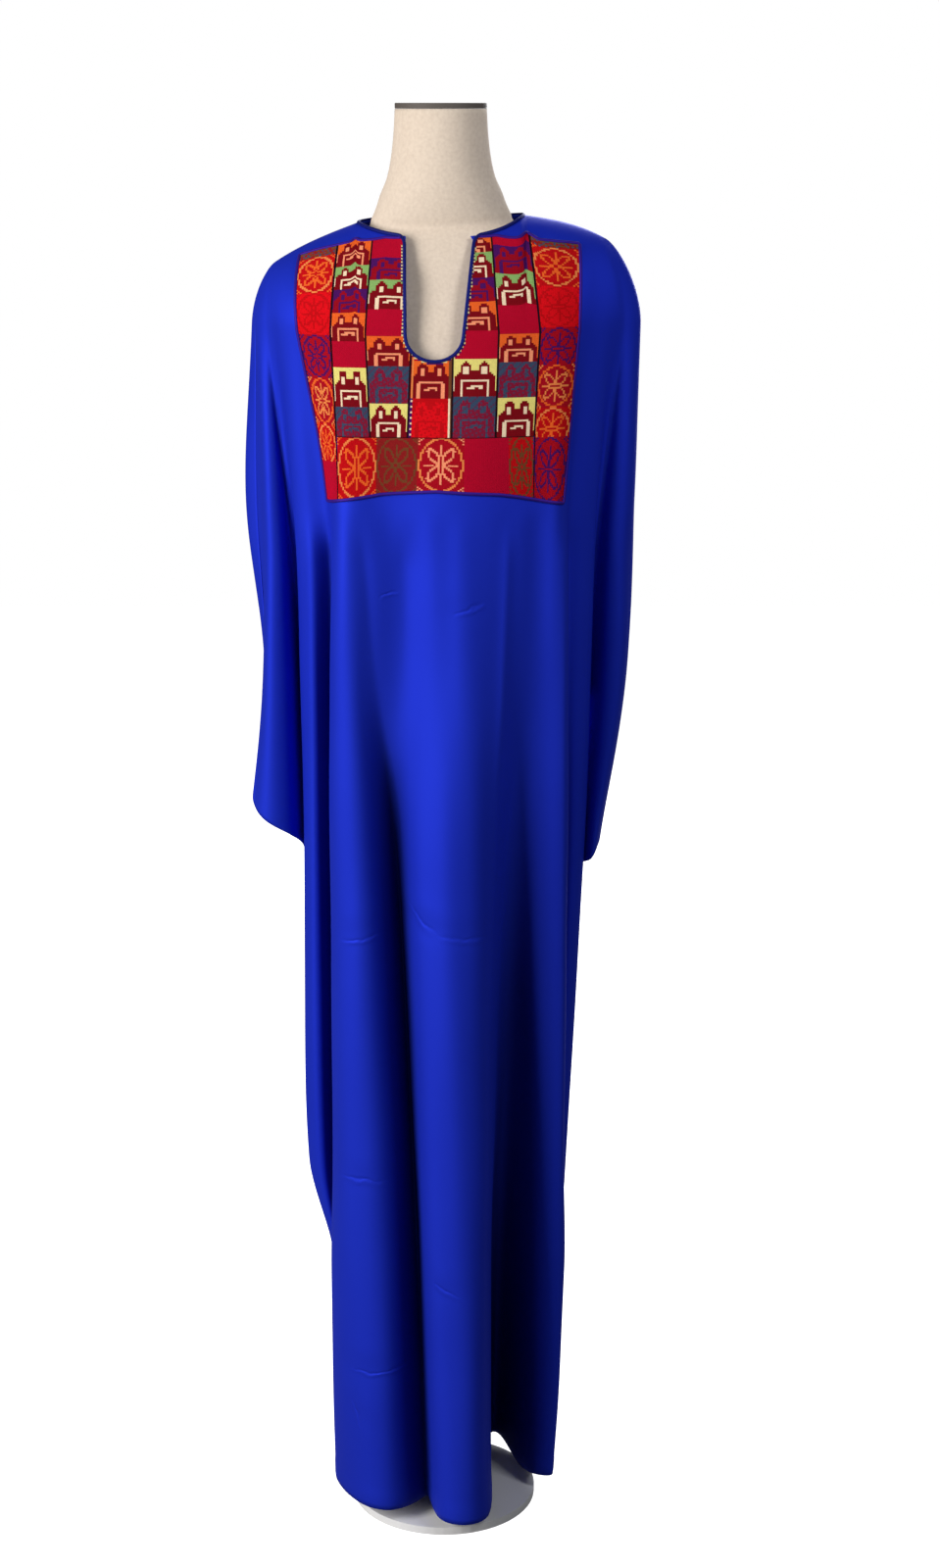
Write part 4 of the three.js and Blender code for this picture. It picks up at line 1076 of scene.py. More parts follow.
def add_walls(points, faces, threads, down):
    """Walls down from the open border."""
    sides = np.concatenate([faces[:, [0, 1]], faces[:, [1, 2]], faces[:, [2, 0]]])
    owner = np.tile(np.arange(len(faces)), 3)
    keys = sides.min(1) * len(points) + sides.max(1)
    _, first, count = np.unique(keys, return_index=True, return_counts=True)
    rim = first[count == 1]
    a, b = sides[rim, 0], sides[rim, 1]
    used = np.unique(sides[rim])
    twin = np.zeros(len(points), int)
    twin[used] = len(points) + np.arange(len(used))
    points = np.concatenate([points, points[used] + [0, down, 0]])
    walls = np.concatenate([np.stack([b, a, twin[a]], -1), np.stack([b, twin[a], twin[b]], -1)])
    return points, np.concatenate([faces, walls]), np.concatenate([threads, np.tile(threads[owner[rim]], 2)])


def seam_line(name):
    return lambda row: line_at(name, row)


def fixed_line(x):
    return lambda row: np.full_like(row, x)


def edge_inset(name):
    """How far a strip stays inside its seam line: under the piping outside, a hair inside."""
    if name.startswith("outer"):
        return UNDER_PIPING
    return SEAM / 2 if name.startswith("in") else 0


patchwork = []
for node, strips in STRIPS.items():
    low = 0 if "side" in node else BIB_ROW
    top = strips[0][3][0][0]
    parts = []
    for a, b, columns, plan in strips:
        table = strip_colours(plan, columns, low, top)
        if node == "yoke_centre":
            table = add_side_bands(table, 59 - BIB_ROW)
        dark = ["left"] if not a.startswith("outer") else []
        dark += ["right"] if not b.startswith("outer") else []
        inset = (edge_inset(a), edge_inset(b))
        parts.append(sew_strip(seam_line(a), seam_line(b), columns, table, low, top, dark, inset))
    patchwork.append(make_patchwork(node, parts))
parts = []
for number, (x, columns, look) in enumerate(BOTTOM):
    end = BOTTOM[number + 1][0] if number + 1 < len(BOTTOM) else BOTTOM_END
    table = strip_colours([(BIB_ROW, look)], columns, 0, BIB_ROW)
    inset = (SEAM / 2 if number == 0 else 0, SEAM / 2 if end == BOTTOM_END else 0)
    parts.append(sew_strip(fixed_line(x), fixed_line(end), columns, table, 0, BIB_ROW, ["top"], inset))
patchwork.append(make_patchwork("yoke_bottom", parts))
print("stitched faces:", sum(len(p.data.polygons) for p in patchwork))

# %% [markdown]
# A narrow blue piping closes the patchwork outside, and a bias binding closes the neck
# edge. Both are tubes swept along a path. The binding is pressed flat, as a folded strip
# of the same cloth would be.

# %% Tubes along a path
def sweep(name, path, normals, half_width, half_height, closed, sides=10):
    """Flattened tube along a path; normals point away from the cloth."""
    path, normals = np.asarray(path, float), np.asarray(normals, float)
    n = len(path)
    if closed:
        run = np.roll(path, -1, 0) - np.roll(path, 1, 0)
    else:
        run = np.gradient(path, axis=0)
    run = unit(run)
    side = unit(np.cross(run, normals))
    up = np.cross(side, run)
    a = np.linspace(0, 2 * math.pi, sides, endpoint=False)
    ring = path[:, None] + side[:, None] * (half_width * np.cos(a))[None, :, None]
    ring = ring + up[:, None] * (half_height * np.sin(a))[None, :, None]
    i = np.arange(n if closed else n - 1)[:, None]
    k = np.arange(sides)[None, :]
    j, m = (i + 1) % n, (k + 1) % sides
    faces = np.stack([i * sides + k, i * sides + m, j * sides + m, j * sides + k], -1)
    faces = faces.reshape(-1, 4).tolist()
    if not closed:
        faces.append(list(range(sides)))
        faces.append(list(range(n * sides - 1, (n - 1) * sides - 1, -1)))
    return make_mesh(name, ring.reshape(-1, 3), faces)


def evened(path, step, *also):
    """The path with points an even step apart, and the same for the lists beside it."""
    run = np.concatenate([[0], np.cumsum(np.linalg.norm(np.diff(path, axis=0), axis=1))])
    at = np.linspace(0, run[-1], max(int(run[-1] / step), 2) + 1)
    out = []
    for values in (path, *also):
        out.append(np.stack([np.interp(at, run, values[:, c]) for c in range(values.shape[1])], -1))
    return out


# %% [markdown]
# The piping follows the outside of the patchwork from one side of the slit round to the
# other. It sits a little over the seam, so the edges of the strips end under it.

# %% Piping
PIPE_LIFT, PIPE_HEIGHT = 1.3, 1.2


def patch_border():
    """Thread and row along the outside of the patchwork, from the slit round to the slit."""
    rows = np.linspace(TOP_ROW, 0, 120)
    top_left = np.linspace(-43, LINES["outer left"][3], 40)
    foot = np.linspace(LINES["outer left"][0], LINES["outer right"][0], 90)
    top_right = np.linspace(LINES["outer right"][3], 41, 40)
    up_right = line_at("outer right", rows[::-1])
    x = np.concatenate([top_left, line_at("outer left", rows), foot, up_right, top_right])
    row = np.concatenate([np.full(40, TOP_ROW), rows, np.zeros(90), rows[::-1], np.full(40, TOP_ROW)])
    return x, row.astype(float)


border_x, border_row = patch_border()
border = on_yoke(border_x, border_row)
border_up = on_yoke_normal(border_x, border_row)
border, border_up = evened(border, 3.0, border_up)
PIPING = 1.8
border_up = unit(border_up)
piping = sweep("piping", border + border_up * PIPE_LIFT, border_up, PIPING, PIPE_HEIGHT, closed=False)
dresses(piping, "yoke_piping")
print("piping points", len(border))

# %% [markdown]
# The slit is drawn in the front view, so its binding needs the depth of the chest there.
# It is read from a table of the cloth's own points. From the slit the binding runs on
# along the neckline and round the back of the neck, in one piece.

# %% Neck binding
# the chest seen from the front: for each step down the cloth, a run of points across it
CHEST_W = np.concatenate([np.linspace(0, 1, 70), [1.01, 1.02, 1.03, 1.04]])
CHEST_Q = [body.find(x) for x in np.arange(-70, 71, 2.0)]
CHEST = np.array([body.column(q, CHEST_W) for q in CHEST_Q])


def chest_depth(x, z):
    """y of the front at x and z in the front view."""
    found = np.empty(len(x))
    for n, (px, pz) in enumerate(zip(x, z)):
        ys = [np.interp(px, CHEST[:, k, 0], CHEST[:, k, 1]) for k in range(len(CHEST_W))]
        zs = [np.interp(px, CHEST[:, k, 0], CHEST[:, k, 2]) for k in range(len(CHEST_W))]
        found[n] = np.interp(pz, zs[::-1], ys[::-1])
    return found


def on_chest(x, z):
    y = chest_depth(x, z)
    slope_x = (chest_depth(x + 1.5, z) - chest_depth(x - 1.5, z)) / 3
    slope_z = (chest_depth(x, z + 1.0) - chest_depth(x, z - 1.0)) / 2
    return np.stack([x, y, z], -1), unit(np.stack([slope_x, -np.ones(len(x)), slope_z], -1))


def neck_line(xs, facing):
    spots = [hang_point(x, facing) for x in xs]
    edge = np.array([s[0] for s in spots])
    out = np.array([s[1] for s in spots])
    run = unit(np.gradient(edge, axis=0))
    up = unit(np.cross(run, out))
    return edge, np.where(up[:, 2:] < 0, -up, up)


BIND_OUT = 1.0
BIND_HALF = 1.9
BIND_LIFT, BIND_HEIGHT = 1.0, 1.15
slit_path = slit_outline(BIND_OUT, 40)
below_top = slit_path[:, 1] < SLIT["top"] - 6
slit_edge, slit_up = on_chest(slit_path[below_top, 0], slit_path[below_top, 1])
right_x = np.linspace(SLIT["right"] + 5, NECK_HALF - 1, 30)
right_edge, right_up = neck_line(right_x, -1)
rear_edge, rear_up = neck_line(np.linspace(NECK_HALF - 1, -NECK_HALF + 1, 90), 1)
left_edge, left_up = neck_line(np.linspace(-NECK_HALF + 1, SLIT["left"] - 5, 30), -1)
bind = np.concatenate([slit_edge, right_edge, rear_edge, left_edge])
bind_up = np.concatenate([slit_up, right_up, rear_up, left_up])
closing = np.concatenate([bind, bind[:1]])
closing_up = np.concatenate([bind_up, bind_up[:1]])
bind, bind_up = evened(closing, 2.6, closing_up)
bind, bind_up = bind[:-1], unit(bind_up[:-1])
for _ in range(3):
    bind = 0.25 * np.roll(bind, 1, 0) + 0.5 * bind + 0.25 * np.roll(bind, -1, 0)
    bind_up = unit(0.25 * np.roll(bind_up, 1, 0) + 0.5 * bind_up + 0.25 * np.roll(bind_up, -1, 0))
bind_middle = bind + bind_up * BIND_LIFT
binding = sweep("binding", bind_middle, bind_up, BIND_HALF, BIND_HEIGHT, closed=True, sides=12)
dresses(binding, "neck_binding")
print("binding points", len(bind))

# %% [markdown]
# The form is a limbless dress form covered in linen. Its rings are the same as the solid's,
# but a smooth curve through them gives a rounder skin. The neck ends in a thin dark cap.

# %% Dress form
# each ring: height, half width, depth in front, depth behind, share of the shoulders' tilt
FORM_RINGS = [
    (1673.7, 50.5, 48, 48, 0),
    (1648, 52, 49, 49, 0),
    (1622, 55, 50, 50, 0.15),
    (1600, 60, 51, 52, 0.4),
    (1584, 67, 51, 53, 0.6),
    (1570, 72, 50, 52, 0.8),
    (1559, 77, 48, 50, 0.9),
    (1549, 82, 46, 49, 1),
    (1544.5, 100, 49, 48.5, 1),
    (1538.5, 124, 53, 52, 1),
    (1530, 147, 59, 59, 1),
    (1517, 162, 67, 66, 1),
    (1492, 168, 76, 73, 0.9),
    (1468, 168, 86, 80, 0.7),
    (1438, 164, 94, 86, 0.5),
    (1390, 156, 99, 88, 0.25),
    (1330, 146, 100, 87, 0),
    (1250, 132, 90, 80, 0),
    (1170, 120, 78, 72, 0),
    (1110, 117, 72, 70, 0),
    (1040, 122, 70, 72, 0),
    (980, 128, 66, 72, 0),
    (938, 129, 60, 68, 0),
    (922, 122, 54, 62, 0),
]
FORM_TILT = 0.045


def smooth_rows(table, steps):
    """More rows through the rings, on a curve that passes each one."""
    table = np.asarray(table, float)
    rows = []
    for k in range(len(table) - 1):
        before, a, b, after = table[max(k - 1, 0)], table[k], table[k + 1], table[min(k + 2, len(table) - 1)]
        for t in np.arange(steps) / steps:
            sa = (b - before) / max((before[0] - b[0]), 1e-6) * (a[0] - b[0])
            sb = (after - a) / max((a[0] - after[0]), 1e-6) * (a[0] - b[0])
            mid = (2 * t**3 - 3 * t**2 + 1) * a + (t**3 - 2 * t**2 + t) * sa
            rows.append(mid + (3 * t**2 - 2 * t**3) * b + (t**3 - t**2) * sb)
    return np.array(rows + [table[-1]])


def make_form():
    rings = smooth_rows(FORM_RINGS, 5)
    around = 120
    a = np.linspace(0, 2 * math.pi, around, endpoint=False)
    points = []
    for z, half, front_depth, back_depth, tilt in rings:
        x = half * np.cos(a)
        y = np.sin(a) * np.where(np.sin(a) < 0, front_depth, back_depth)
        points.append(np.stack([x, y, z + FORM_TILT * tilt * x], -1))
    points = np.concatenate(points)
    n = len(rings)
    faces = []
    for r in range(n - 1):
        for k in range(around):
            m = (k + 1) % around
            faces.append((r * around + k, (r + 1) * around + k, (r + 1) * around + m, r * around + m))
    faces.append(tuple(range(around)))
    faces.append(tuple(range(n * around - 1, (n - 1) * around - 1, -1)))
    thing = make_mesh("linen_form", points, faces, only_quads)
    dresses(thing, "form_body")
    return thing


form = make_form()
print("form points", len(form.data.vertices))

# %% [markdown]
# The cap is a round board with its two edges eased. It is turned from a profile, and
# pressed to the oval of the neck.

# %% Neck cap
CAP = {"z": 1674, "height": 6, "half": 50.5, "depth": 48}


def turned(name, profile, around, squash=1.0):
    """A round thing from its profile of radius and height, closed at both ends."""
    a = np.linspace(0, 2 * math.pi, around, endpoint=False)
    points = [(r * math.cos(t), r * squash * math.sin(t), z) for r, z in profile for t in a]
    faces = []
    for r in range(len(profile) - 1):
        for k in range(around):
            m = (k + 1) % around
            faces.append((r * around + k, r * around + m, (r + 1) * around + m, (r + 1) * around + k))
    faces.append(tuple(range(around - 1, -1, -1)))
    faces.append(tuple(range((len(profile) - 1) * around, len(profile) * around)))
    return make_mesh(name, points, faces, only_quads)


def rounded_profile(radius, low, high, round_off, steps=5):
    a = np.linspace(0, math.pi / 2, steps)
    inner = radius - round_off
    foot = [(inner + round_off * math.sin(t), low + round_off - round_off * math.cos(t)) for t in a]
    head = [(inner + round_off * math.cos(t), high - round_off + round_off * math.sin(t)) for t in a]
    return foot + head


cap_profile = rounded_profile(CAP["half"], CAP["z"], CAP["z"] + CAP["height"], 0.8)
cap = turned("cap", cap_profile, 96, CAP["depth"] / CAP["half"])
dresses(cap, "neck_cap")
print("cap points", len(cap.data.vertices))

# %% [markdown]
# Materials come next. Most of them need the same small help: an even fine weave, a slow
# change of tone, a line pressed into the cloth. Those are kept as node groups, so each
# material stays short and every group can be reused. Each group gives out only a value,
# a height or a colour. What depends on the view stays in the material.

# %% Node helpers
def new_group(name, inputs, outputs):
    group = bpy.data.node_groups.new(name, "ShaderNodeTree")
    for label, kind, value in inputs:
        socket = group.interface.new_socket(label, in_out="INPUT", socket_type=kind)
        if value is not None:
            socket.default_value = value
    for label, kind in outputs:
        group.interface.new_socket(label, in_out="OUTPUT", socket_type=kind)
    start = group.nodes.new("NodeGroupInput")
    end = group.nodes.new("NodeGroupOutput")
    return group, start, end


def math_node(tree, operation, a, b=None):
    node = tree.nodes.new("ShaderNodeMath")
    node.operation = operation
    for socket, value in zip(node.inputs, (a, b)):
        if value is None:
            continue
        if isinstance(value, (int, float)):
            socket.default_value = value
        else:
            tree.links.new(value, socket)
    return node.outputs[0]


# %% [markdown]
# A plain weave is two sets of threads that cross, and two sines do the same. Dyed cloth
# and paint are never of one tone either, so a slow noise goes between two close shades.

# %% Weave and tone
def weave_group():
    """Two sets of fine threads crossing, as a height from 0 to 1."""
    tree, start, end = new_group(
        "fine weave",
        [("Place", "NodeSocketVector", None), ("Threads per metre", "NodeSocketFloat", 1500.0)],
        [("Height", "NodeSocketFloat")],
    )
    split = tree.nodes.new("ShaderNodeSeparateXYZ")
    tree.links.new(start.outputs["Place"], split.inputs[0])
    waves = []
    for axis in ("X", "Z"):
        turn = math_node(tree, "MULTIPLY", split.outputs[axis], start.outputs["Threads per metre"])
        waves.append(math_node(tree, "SINE", math_node(tree, "MULTIPLY", turn, 2 * math.pi)))
    crossed = math_node(tree, "MULTIPLY", waves[0], waves[1])
    height = math_node(tree, "ADD", math_node(tree, "MULTIPLY", crossed, 0.5), 0.5)
    tree.links.new(height, end.inputs["Height"])
    return tree


def tone_group():
    """A slow change of tone between two shades."""
    tree, start, end = new_group(
        "slow tone",
        [
            ("Place", "NodeSocketVector", None),
            ("Scale", "NodeSocketFloat", 8.0),
            ("Dark", "NodeSocketColor", (0.5, 0.5, 0.5, 1)),
            ("Light", "NodeSocketColor", (0.6, 0.6, 0.6, 1)),
        ],
        [("Color", "NodeSocketColor")],
    )
    noise = tree.nodes.new("ShaderNodeTexNoise")
    noise.inputs["Detail"].default_value = 3
    tree.links.new(start.outputs["Place"], noise.inputs["Vector"])
    tree.links.new(start.outputs["Scale"], noise.inputs["Scale"])
    blend = tree.nodes.new("ShaderNodeMix")
    blend.data_type = "RGBA"
    tree.links.new(noise.outputs["Fac"], blend.inputs["Factor"])
    tree.links.new(start.outputs["Dark"], blend.inputs["A"])
    tree.links.new(start.outputs["Light"], blend.inputs["B"])
    tree.links.new(blend.outputs["Result"], end.inputs["Color"])
    return tree


# %% [markdown]
# A robe that was folded for sale keeps short pressed lines. Each is a shallow trough with
# a soft ridge above it, and it fades to both ends. The group measures how far a spot is
# along the line and how far off it, as seen from the front.

# %% Crease line
def crease_group():
    """Height of a pressed line from start to end."""
    tree, start, end = new_group(
        "crease line",
        [
            ("Place", "NodeSocketVector", None),
            ("Start", "NodeSocketVector", (0, 0, 0)),
            ("End", "NodeSocketVector", (0, 0, 0)),
            ("Width", "NodeSocketFloat", 0.002),
        ],
        [("Height", "NodeSocketFloat")],
    )

    def vector(operation, a, b):
        node = tree.nodes.new("ShaderNodeVectorMath")
        node.operation = operation
        for socket, value in zip(node.inputs, (a, b)):
            if isinstance(value, tuple):
                socket.default_value = value
            else:
                tree.links.new(value, socket)
        return node

    flat = vector("MULTIPLY", start.outputs["Place"], (1, 0, 1)).outputs[0]
    from_start = vector("SUBTRACT", flat, start.outputs["Start"]).outputs[0]
    run = vector("SUBTRACT", start.outputs["End"], start.outputs["Start"]).outputs[0]
    along = vector("DOT_PRODUCT", from_start, run).outputs["Value"]
    whole = vector("DOT_PRODUCT", run, run).outputs["Value"]
    share = math_node(tree, "DIVIDE", along, whole)
    share.node.use_clamp = True
    turned_out = vector("CROSS_PRODUCT", run, from_start).outputs[0]
    across = vector("DOT_PRODUCT", turned_out, (0, 1, 0)).outputs["Value"]
    offset = math_node(tree, "DIVIDE", across, math_node(tree, "SQRT", whole))
    offset = math_node(tree, "DIVIDE", offset, start.outputs["Width"])
    fade = math_node(tree, "MULTIPLY", share, math_node(tree, "SUBTRACT", 1.0, share))
    fade = math_node(tree, "MULTIPLY", fade, 4.0)

    def bell(shift, spread):
        moved = math_node(tree, "DIVIDE", math_node(tree, "SUBTRACT", offset, shift), spread)
        squared = math_node(tree, "POWER", moved, 2.0)
        return math_node(tree, "EXPONENT", math_node(tree, "MULTIPLY", squared, -1.0))

    ridge = math_node(tree, "MULTIPLY", bell(1.9, 1.5), 0.8)
    shape = math_node(tree, "SUBTRACT", ridge, bell(0.0, 1.0))
    tree.links.new(math_node(tree, "MULTIPLY", shape, fade), end.inputs["Height"])
    return tree


CREASE = crease_group()
WEAVE = weave_group()
TONE = tone_group()
print("shared effects:", [group.name for group in bpy.data.node_groups])

# %% [markdown]
# Every material starts from the same shader and takes its places from the object itself,
# so a pattern stays on the cloth when the piece moves.

# %% Material helpers
def new_material(name):
    material = bpy.data.materials.new(name)
    material.use_nodes = True
    tree = material.node_tree
    shader = tree.nodes["Principled BSDF"]
    place = tree.nodes.new("ShaderNodeTexCoord").outputs["Object"]
    return material, tree, shader, place


def use_group(tree, group, place, **values):
    node = tree.nodes.new("ShaderNodeGroup")
    node.node_tree = group
    tree.links.new(place, node.inputs["Place"])
    for label, value in values.items():
        node.inputs[label.replace("_", " ")].default_value = value
    return node


def bump(tree, shader, height, distance, strength=1.0, normal=None):
    node = tree.nodes.new("ShaderNodeBump")
    node.inputs["Distance"].default_value = distance
    node.inputs["Strength"].default_value = strength
    tree.links.new(height, node.inputs["Height"])
    if normal is not None:
        tree.links.new(normal, node.inputs["Normal"])
    tree.links.new(node.outputs["Normal"], shader.inputs["Normal"])
    return node.outputs["Normal"]


def multiply_by(tree, colour, layer, shader):
    """Base colour times a colour that the mesh carries."""
    carried = tree.nodes.new("ShaderNodeVertexColor")
    carried.layer_name = layer
    blend = tree.nodes.new("ShaderNodeMix")
    blend.data_type = "RGBA"
    blend.blend_type = "MULTIPLY"
    blend.inputs["Factor"].default_value = 1.0
    tree.links.new(carried.outputs["Color"], blend.inputs["A"])
    tree.links.new(colour, blend.inputs["B"])
    tree.links.new(blend.outputs["Result"], shader.inputs["Base Color"])


def put(thing, material):
    thing.data.materials.clear()
    thing.data.materials.append(material)


# %% [markdown]
# The cloth is a heavy satin crepe: a deep even blue with a soft broad sheen. A pebbled
# bump finer than a millimetre breaks the highlight, and the sheen lifts the edges of the
# folds. The turned hem and the sewn edges need no second material.

# %% Cloth
# start x, start z, end x, end z, half width, all in millimetres as seen from the front
FRONT_LINES = [
    (-42, 796, -4, 764, 2.2),
    (-6, 764, 52, 760, 2.0),
    (-120, 744, -70, 758, 1.8),
    (12, 1134, 50, 1150, 1.6),
    (-120, 456, -62, 452, 2.0),
    (-12, 336, 24, 322, 1.8),
    (-112, 208, -36, 214, 1.6),
    (-110, 168, -98, 132, 1.6),
    (-70, 1150, -48, 1158, 1.4),
]
BACK_LINES = [
    (-96, 902, -40, 912, 2.0),
    (4, 866, 60, 856, 2.0),
    (60, 636, 104, 642, 1.8),
    (-50, 566, 8, 558, 2.0),
    (-112, 424, -66, 434, 1.8),
    (24, 384, 78, 380, 2.0),
    (-24, 1172, 22, 1184, 1.8),
]


WANDER = 0.012


def press_creases(tree, place, lines):
    """Sum of the crease lines, on places shifted a little so that no line is ruled straight."""
    wander = tree.nodes.new("ShaderNodeTexNoise")
    wander.inputs["Scale"].default_value = 45
    tree.links.new(place, wander.inputs["Vector"])
    shift = tree.nodes.new("ShaderNodeVectorMath")
    shift.operation = "MULTIPLY_ADD"
    shift.inputs[1].default_value = (WANDER, 0, WANDER)
    tree.links.new(wander.outputs["Color"], shift.inputs[0])
    tree.links.new(place, shift.inputs[2])
    total = 0.0
    for x0, z0, x1, z1, width in lines:
        node = use_group(tree, CREASE, shift.outputs[0], Width=width * MM)
        node.inputs["Start"].default_value = (x0 * MM + WANDER / 2, 0, z0 * MM + WANDER / 2)
        node.inputs["End"].default_value = (x1 * MM + WANDER / 2, 0, z1 * MM + WANDER / 2)
        total = math_node(tree, "ADD", node.outputs["Height"], total)
    return total


def crepe(name, dark, light, roughness, lines=()):
    material, tree, shader, place = new_material(name)
    tone = use_group(tree, TONE, place, Scale=5.0, Dark=dark, Light=light)
    if lines:
        # painted shade: the blue is darkened by the fold shade that the mesh carries
        multiply_by(tree, tone.outputs["Color"], "fold shade", shader)
    else:
        tree.links.new(tone.outputs["Color"], shader.inputs["Base Color"])
    shader.inputs["Roughness"].default_value = roughness
    shader.inputs["Metallic"].default_value = 0.5
    shader.inputs["Specular IOR Level"].default_value = 0.06
    normal = None
    if lines:
        normal = bump(tree, shader, press_creases(tree, place, lines), 0.0008, 0.6)
    pebble = tree.nodes.new("ShaderNodeTexNoise")
    pebble.inputs["Scale"].default_value = 1400
    pebble.inputs["Detail"].default_value = 2
    tree.links.new(place, pebble.inputs["Vector"])
    bump(tree, shader, pebble.outputs["Fac"], 0.00012, 0.5, normal)
    return material


BLUE_DARK = (0.011, 0.028, 0.50, 1)
BLUE_LIGHT = (0.014, 0.036, 0.58, 1)
front_crepe = crepe("front_crepe", BLUE_DARK, BLUE_LIGHT, 0.64, FRONT_LINES)
back_crepe = crepe("back_crepe", BLUE_DARK, BLUE_LIGHT, 0.64, BACK_LINES)
binding_crepe = crepe("binding_crepe", (0.010, 0.014, 0.14, 1), (0.013, 0.018, 0.18, 1), 0.6)
piping_crepe = crepe("piping_crepe", (0.035, 0.012, 0.22, 1), (0.05, 0.016, 0.30, 1), 0.6)
put(front_cloth, front_crepe)
put(back_cloth, back_crepe)
put(binding, binding_crepe)
put(piping, piping_crepe)

# %% [markdown]
# The stitches take their colour from the chart and a dull roughness from the thread,
# which is twisted cotton. The linen cover is warm and matt with visible slubs. The stand
# is white powder coat, and the cap's edge is dark.

# %% Threads, linen and stand
LINEN_DARK = (0.59, 0.48, 0.385, 1)
LINEN_LIGHT = (0.78, 0.67, 0.555, 1)
CAP_BOARD = (0.09, 0.075, 0.065, 1)
STAND_WHITE = (0.9, 0.9, 0.91, 1)


def cotton_material():
    material, tree, shader, place = new_material("stitch_cotton")
    uneven = use_group(tree, TONE, place, Scale=700.0, Dark=(0.74, 0.74, 0.74, 1), Light=(1.2, 1.2, 1.2, 1))
    multiply_by(tree, uneven.outputs["Color"], "thread", shader)
    shader.inputs["Roughness"].default_value = 0.8
    shader.inputs["Specular IOR Level"].default_value = 0.08
    return material


def linen_material():
    material, tree, shader, place = new_material("linen")
    tone = use_group(tree, TONE, place, Scale=260.0, Dark=LINEN_DARK, Light=LINEN_LIGHT)
    tree.links.new(tone.outputs["Color"], shader.inputs["Base Color"])
    weave = use_group(tree, WEAVE, place, Threads_per_metre=700.0)
    shader.inputs["Roughness"].default_value = 0.9
    shader.inputs["Specular IOR Level"].default_value = 0.15
    bump(tree, shader, weave.outputs["Height"], 0.00025, 0.5)
    return material


def paint_material(name, colour, roughness):
    material, tree, shader, place = new_material(name)
    speck = tree.nodes.new("ShaderNodeTexNoise")
    speck.inputs["Scale"].default_value = 900
    tree.links.new(place, speck.inputs["Vector"])
    darker = tuple(c * 0.96 for c in colour[:3]) + (1,)
    tone = use_group(tree, TONE, place, Scale=30.0, Dark=darker, Light=colour)
    tree.links.new(tone.outputs["Color"], shader.inputs["Base Color"])
    shader.inputs["Roughness"].default_value = roughness
    bump(tree, shader, speck.outputs["Fac"], 0.00006, 0.4)
    return material


cotton = cotton_material()
linen = linen_material()
cap_paint = paint_material("cap_board", CAP_BOARD, 0.7)
stand_paint = paint_material("powder_coat", STAND_WHITE, 0.45)
for piece in patchwork:
    put(piece, cotton)
put(form, linen)
put(cap, cap_paint)
for name in ("pole_collar", "pole", "base"):
    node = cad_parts[name]
    put(node, stand_paint)
    edge = node.modifiers.new("edge", "BEVEL")
    edge.width = 0.0012
    edge.segments = 2
    edge.limit_method = "ANGLE"
    node.data.polygons.foreach_set("use_smooth", [True] * len(node.data.polygons))
print("materials:", len(bpy.data.materials))

# %% [markdown]
# The light is a broad soft window from the front left, above head height. A second one
# behind gives the sides of the robe a thin edge of light, and a weak fill on the right
# opens the chest. The surround and the floor are white to the camera and dim to the
# cloth, so the folds keep their dark sides as they do in a room.

# %% Light and surround
def area_light(name, place, aim, size, power, colour):
    data = bpy.data.lights.new(name, "AREA")
    data.shape = "RECTANGLE"
    data.size, data.size_y = size
    data.energy = power
    data.color = colour
    lamp = bpy.data.objects.new(name, data)
    lamp.location = place
    away = np.array(place) - np.array(aim)
    lamp.rotation_euler = (
        math.atan2(math.hypot(away[0], away[1]), away[2]), 0, math.atan2(away[0], -away[1]),
    )
    bpy.context.scene.collection.objects.link(lamp)


# places and sizes in metres, power in watts
area_light(
    "window", place=(-2.9, -2.2, 2.0), aim=(0, 0, 1.0), size=(1.6, 2.2), power=162,
    colour=(1.0, 0.98, 0.95),
)
area_light(
    "behind", place=(0.9, 2.9, 2.2), aim=(0, 0, 1.0), size=(1.6, 2.0), power=110,
    colour=(0.97, 0.98, 1.0),
)
area_light(
    "fill", place=(1.1, -1.2, 2.3), aim=(0, 0, 1.6), size=(0.6, 0.6), power=15,
    colour=(0.95, 0.97, 1.0),
)

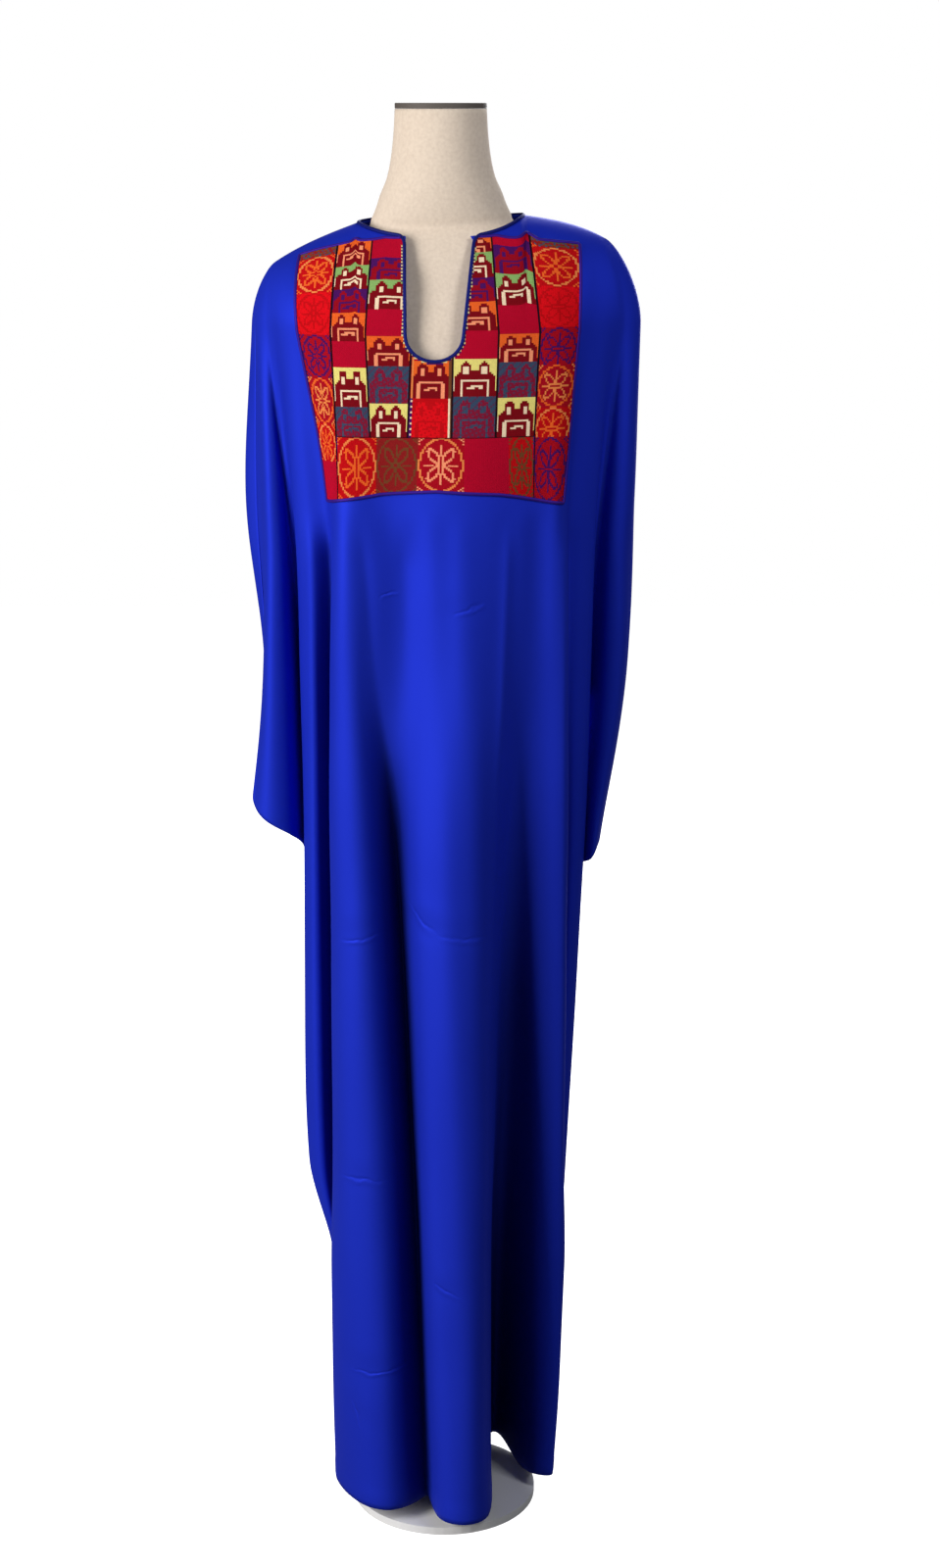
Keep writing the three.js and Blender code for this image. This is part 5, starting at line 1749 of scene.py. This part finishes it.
# strength of the surround on the cloth; the camera sees it at full strength
SURROUND = 0.09
world = bpy.data.worlds.new("surround")
world.use_nodes = True
sky = world.node_tree.nodes["Background"]
seen = world.node_tree.nodes.new("ShaderNodeLightPath").outputs["Is Camera Ray"]
strength = math_node(world.node_tree, "MULTIPLY_ADD", seen, 1.0 - SURROUND)
strength.node.inputs[2].default_value = SURROUND
world.node_tree.links.new(strength, sky.inputs["Strength"])
sky.inputs["Color"].default_value = (1, 1, 1, 1)
bpy.context.scene.world = world
bpy.context.scene.view_settings.view_transform = "Standard"
print("lights:", len(bpy.data.lights))

# %% [markdown]
# The floor is a plain sheet of studio paper. It isn't part of the object.

# %% Floor
# half its width in metres, and the grey that it shows to the cloth
PAPER = 6
PAPER_TO_CLOTH = (0.2, 0.2, 0.2, 1)
floor_mesh = bpy.data.meshes.new("floor")
corners = [(-PAPER, -PAPER, 0), (PAPER, -PAPER, 0), (PAPER, PAPER, 0), (-PAPER, PAPER, 0)]
floor_mesh.from_pydata(corners, [], [(0, 1, 2, 3)])
floor = bpy.data.objects.new("floor", floor_mesh)
bpy.context.scene.collection.objects.link(floor)


def floor_material():
    """White to the camera, and grey to the cloth, so the folds keep their dark sides."""
    material, tree, shader, place = new_material("floor_paint")
    to_camera = tree.nodes.new("ShaderNodeLightPath").outputs["Is Camera Ray"]
    tone = use_group(tree, TONE, place, Scale=3.0, Dark=(0.95, 0.95, 0.95, 1), Light=(0.97, 0.97, 0.97, 1))
    blend = tree.nodes.new("ShaderNodeMix")
    blend.data_type = "RGBA"
    blend.inputs["A"].default_value = PAPER_TO_CLOTH
    tree.links.new(to_camera, blend.inputs["Factor"])
    tree.links.new(tone.outputs["Color"], blend.inputs["B"])
    tree.links.new(blend.outputs["Result"], shader.inputs["Base Color"])
    shader.inputs["Roughness"].default_value = 0.9
    shader.inputs["Specular IOR Level"].default_value = 0.0
    shader.inputs["Emission Color"].default_value = (1, 1, 1, 1)
    tree.links.new(to_camera, shader.inputs["Emission Strength"])
    return material


floor_paint = floor_material()
put(floor, floor_paint)
print("floor, metres across:", 2 * PAPER)

# %% [markdown]
# Last comes the area of each panel, summed from its faces.

# %% Area of the cloth
def cloth_area(thing):
    mesh = thing.data
    area = np.zeros(len(mesh.polygons))
    mesh.polygons.foreach_get("area", area)
    return area.sum()


for label, thing, grids in (("front", front_cloth, front_grids), ("back", back_cloth, back_grids)):
    round(cloth_area(thing), 4)
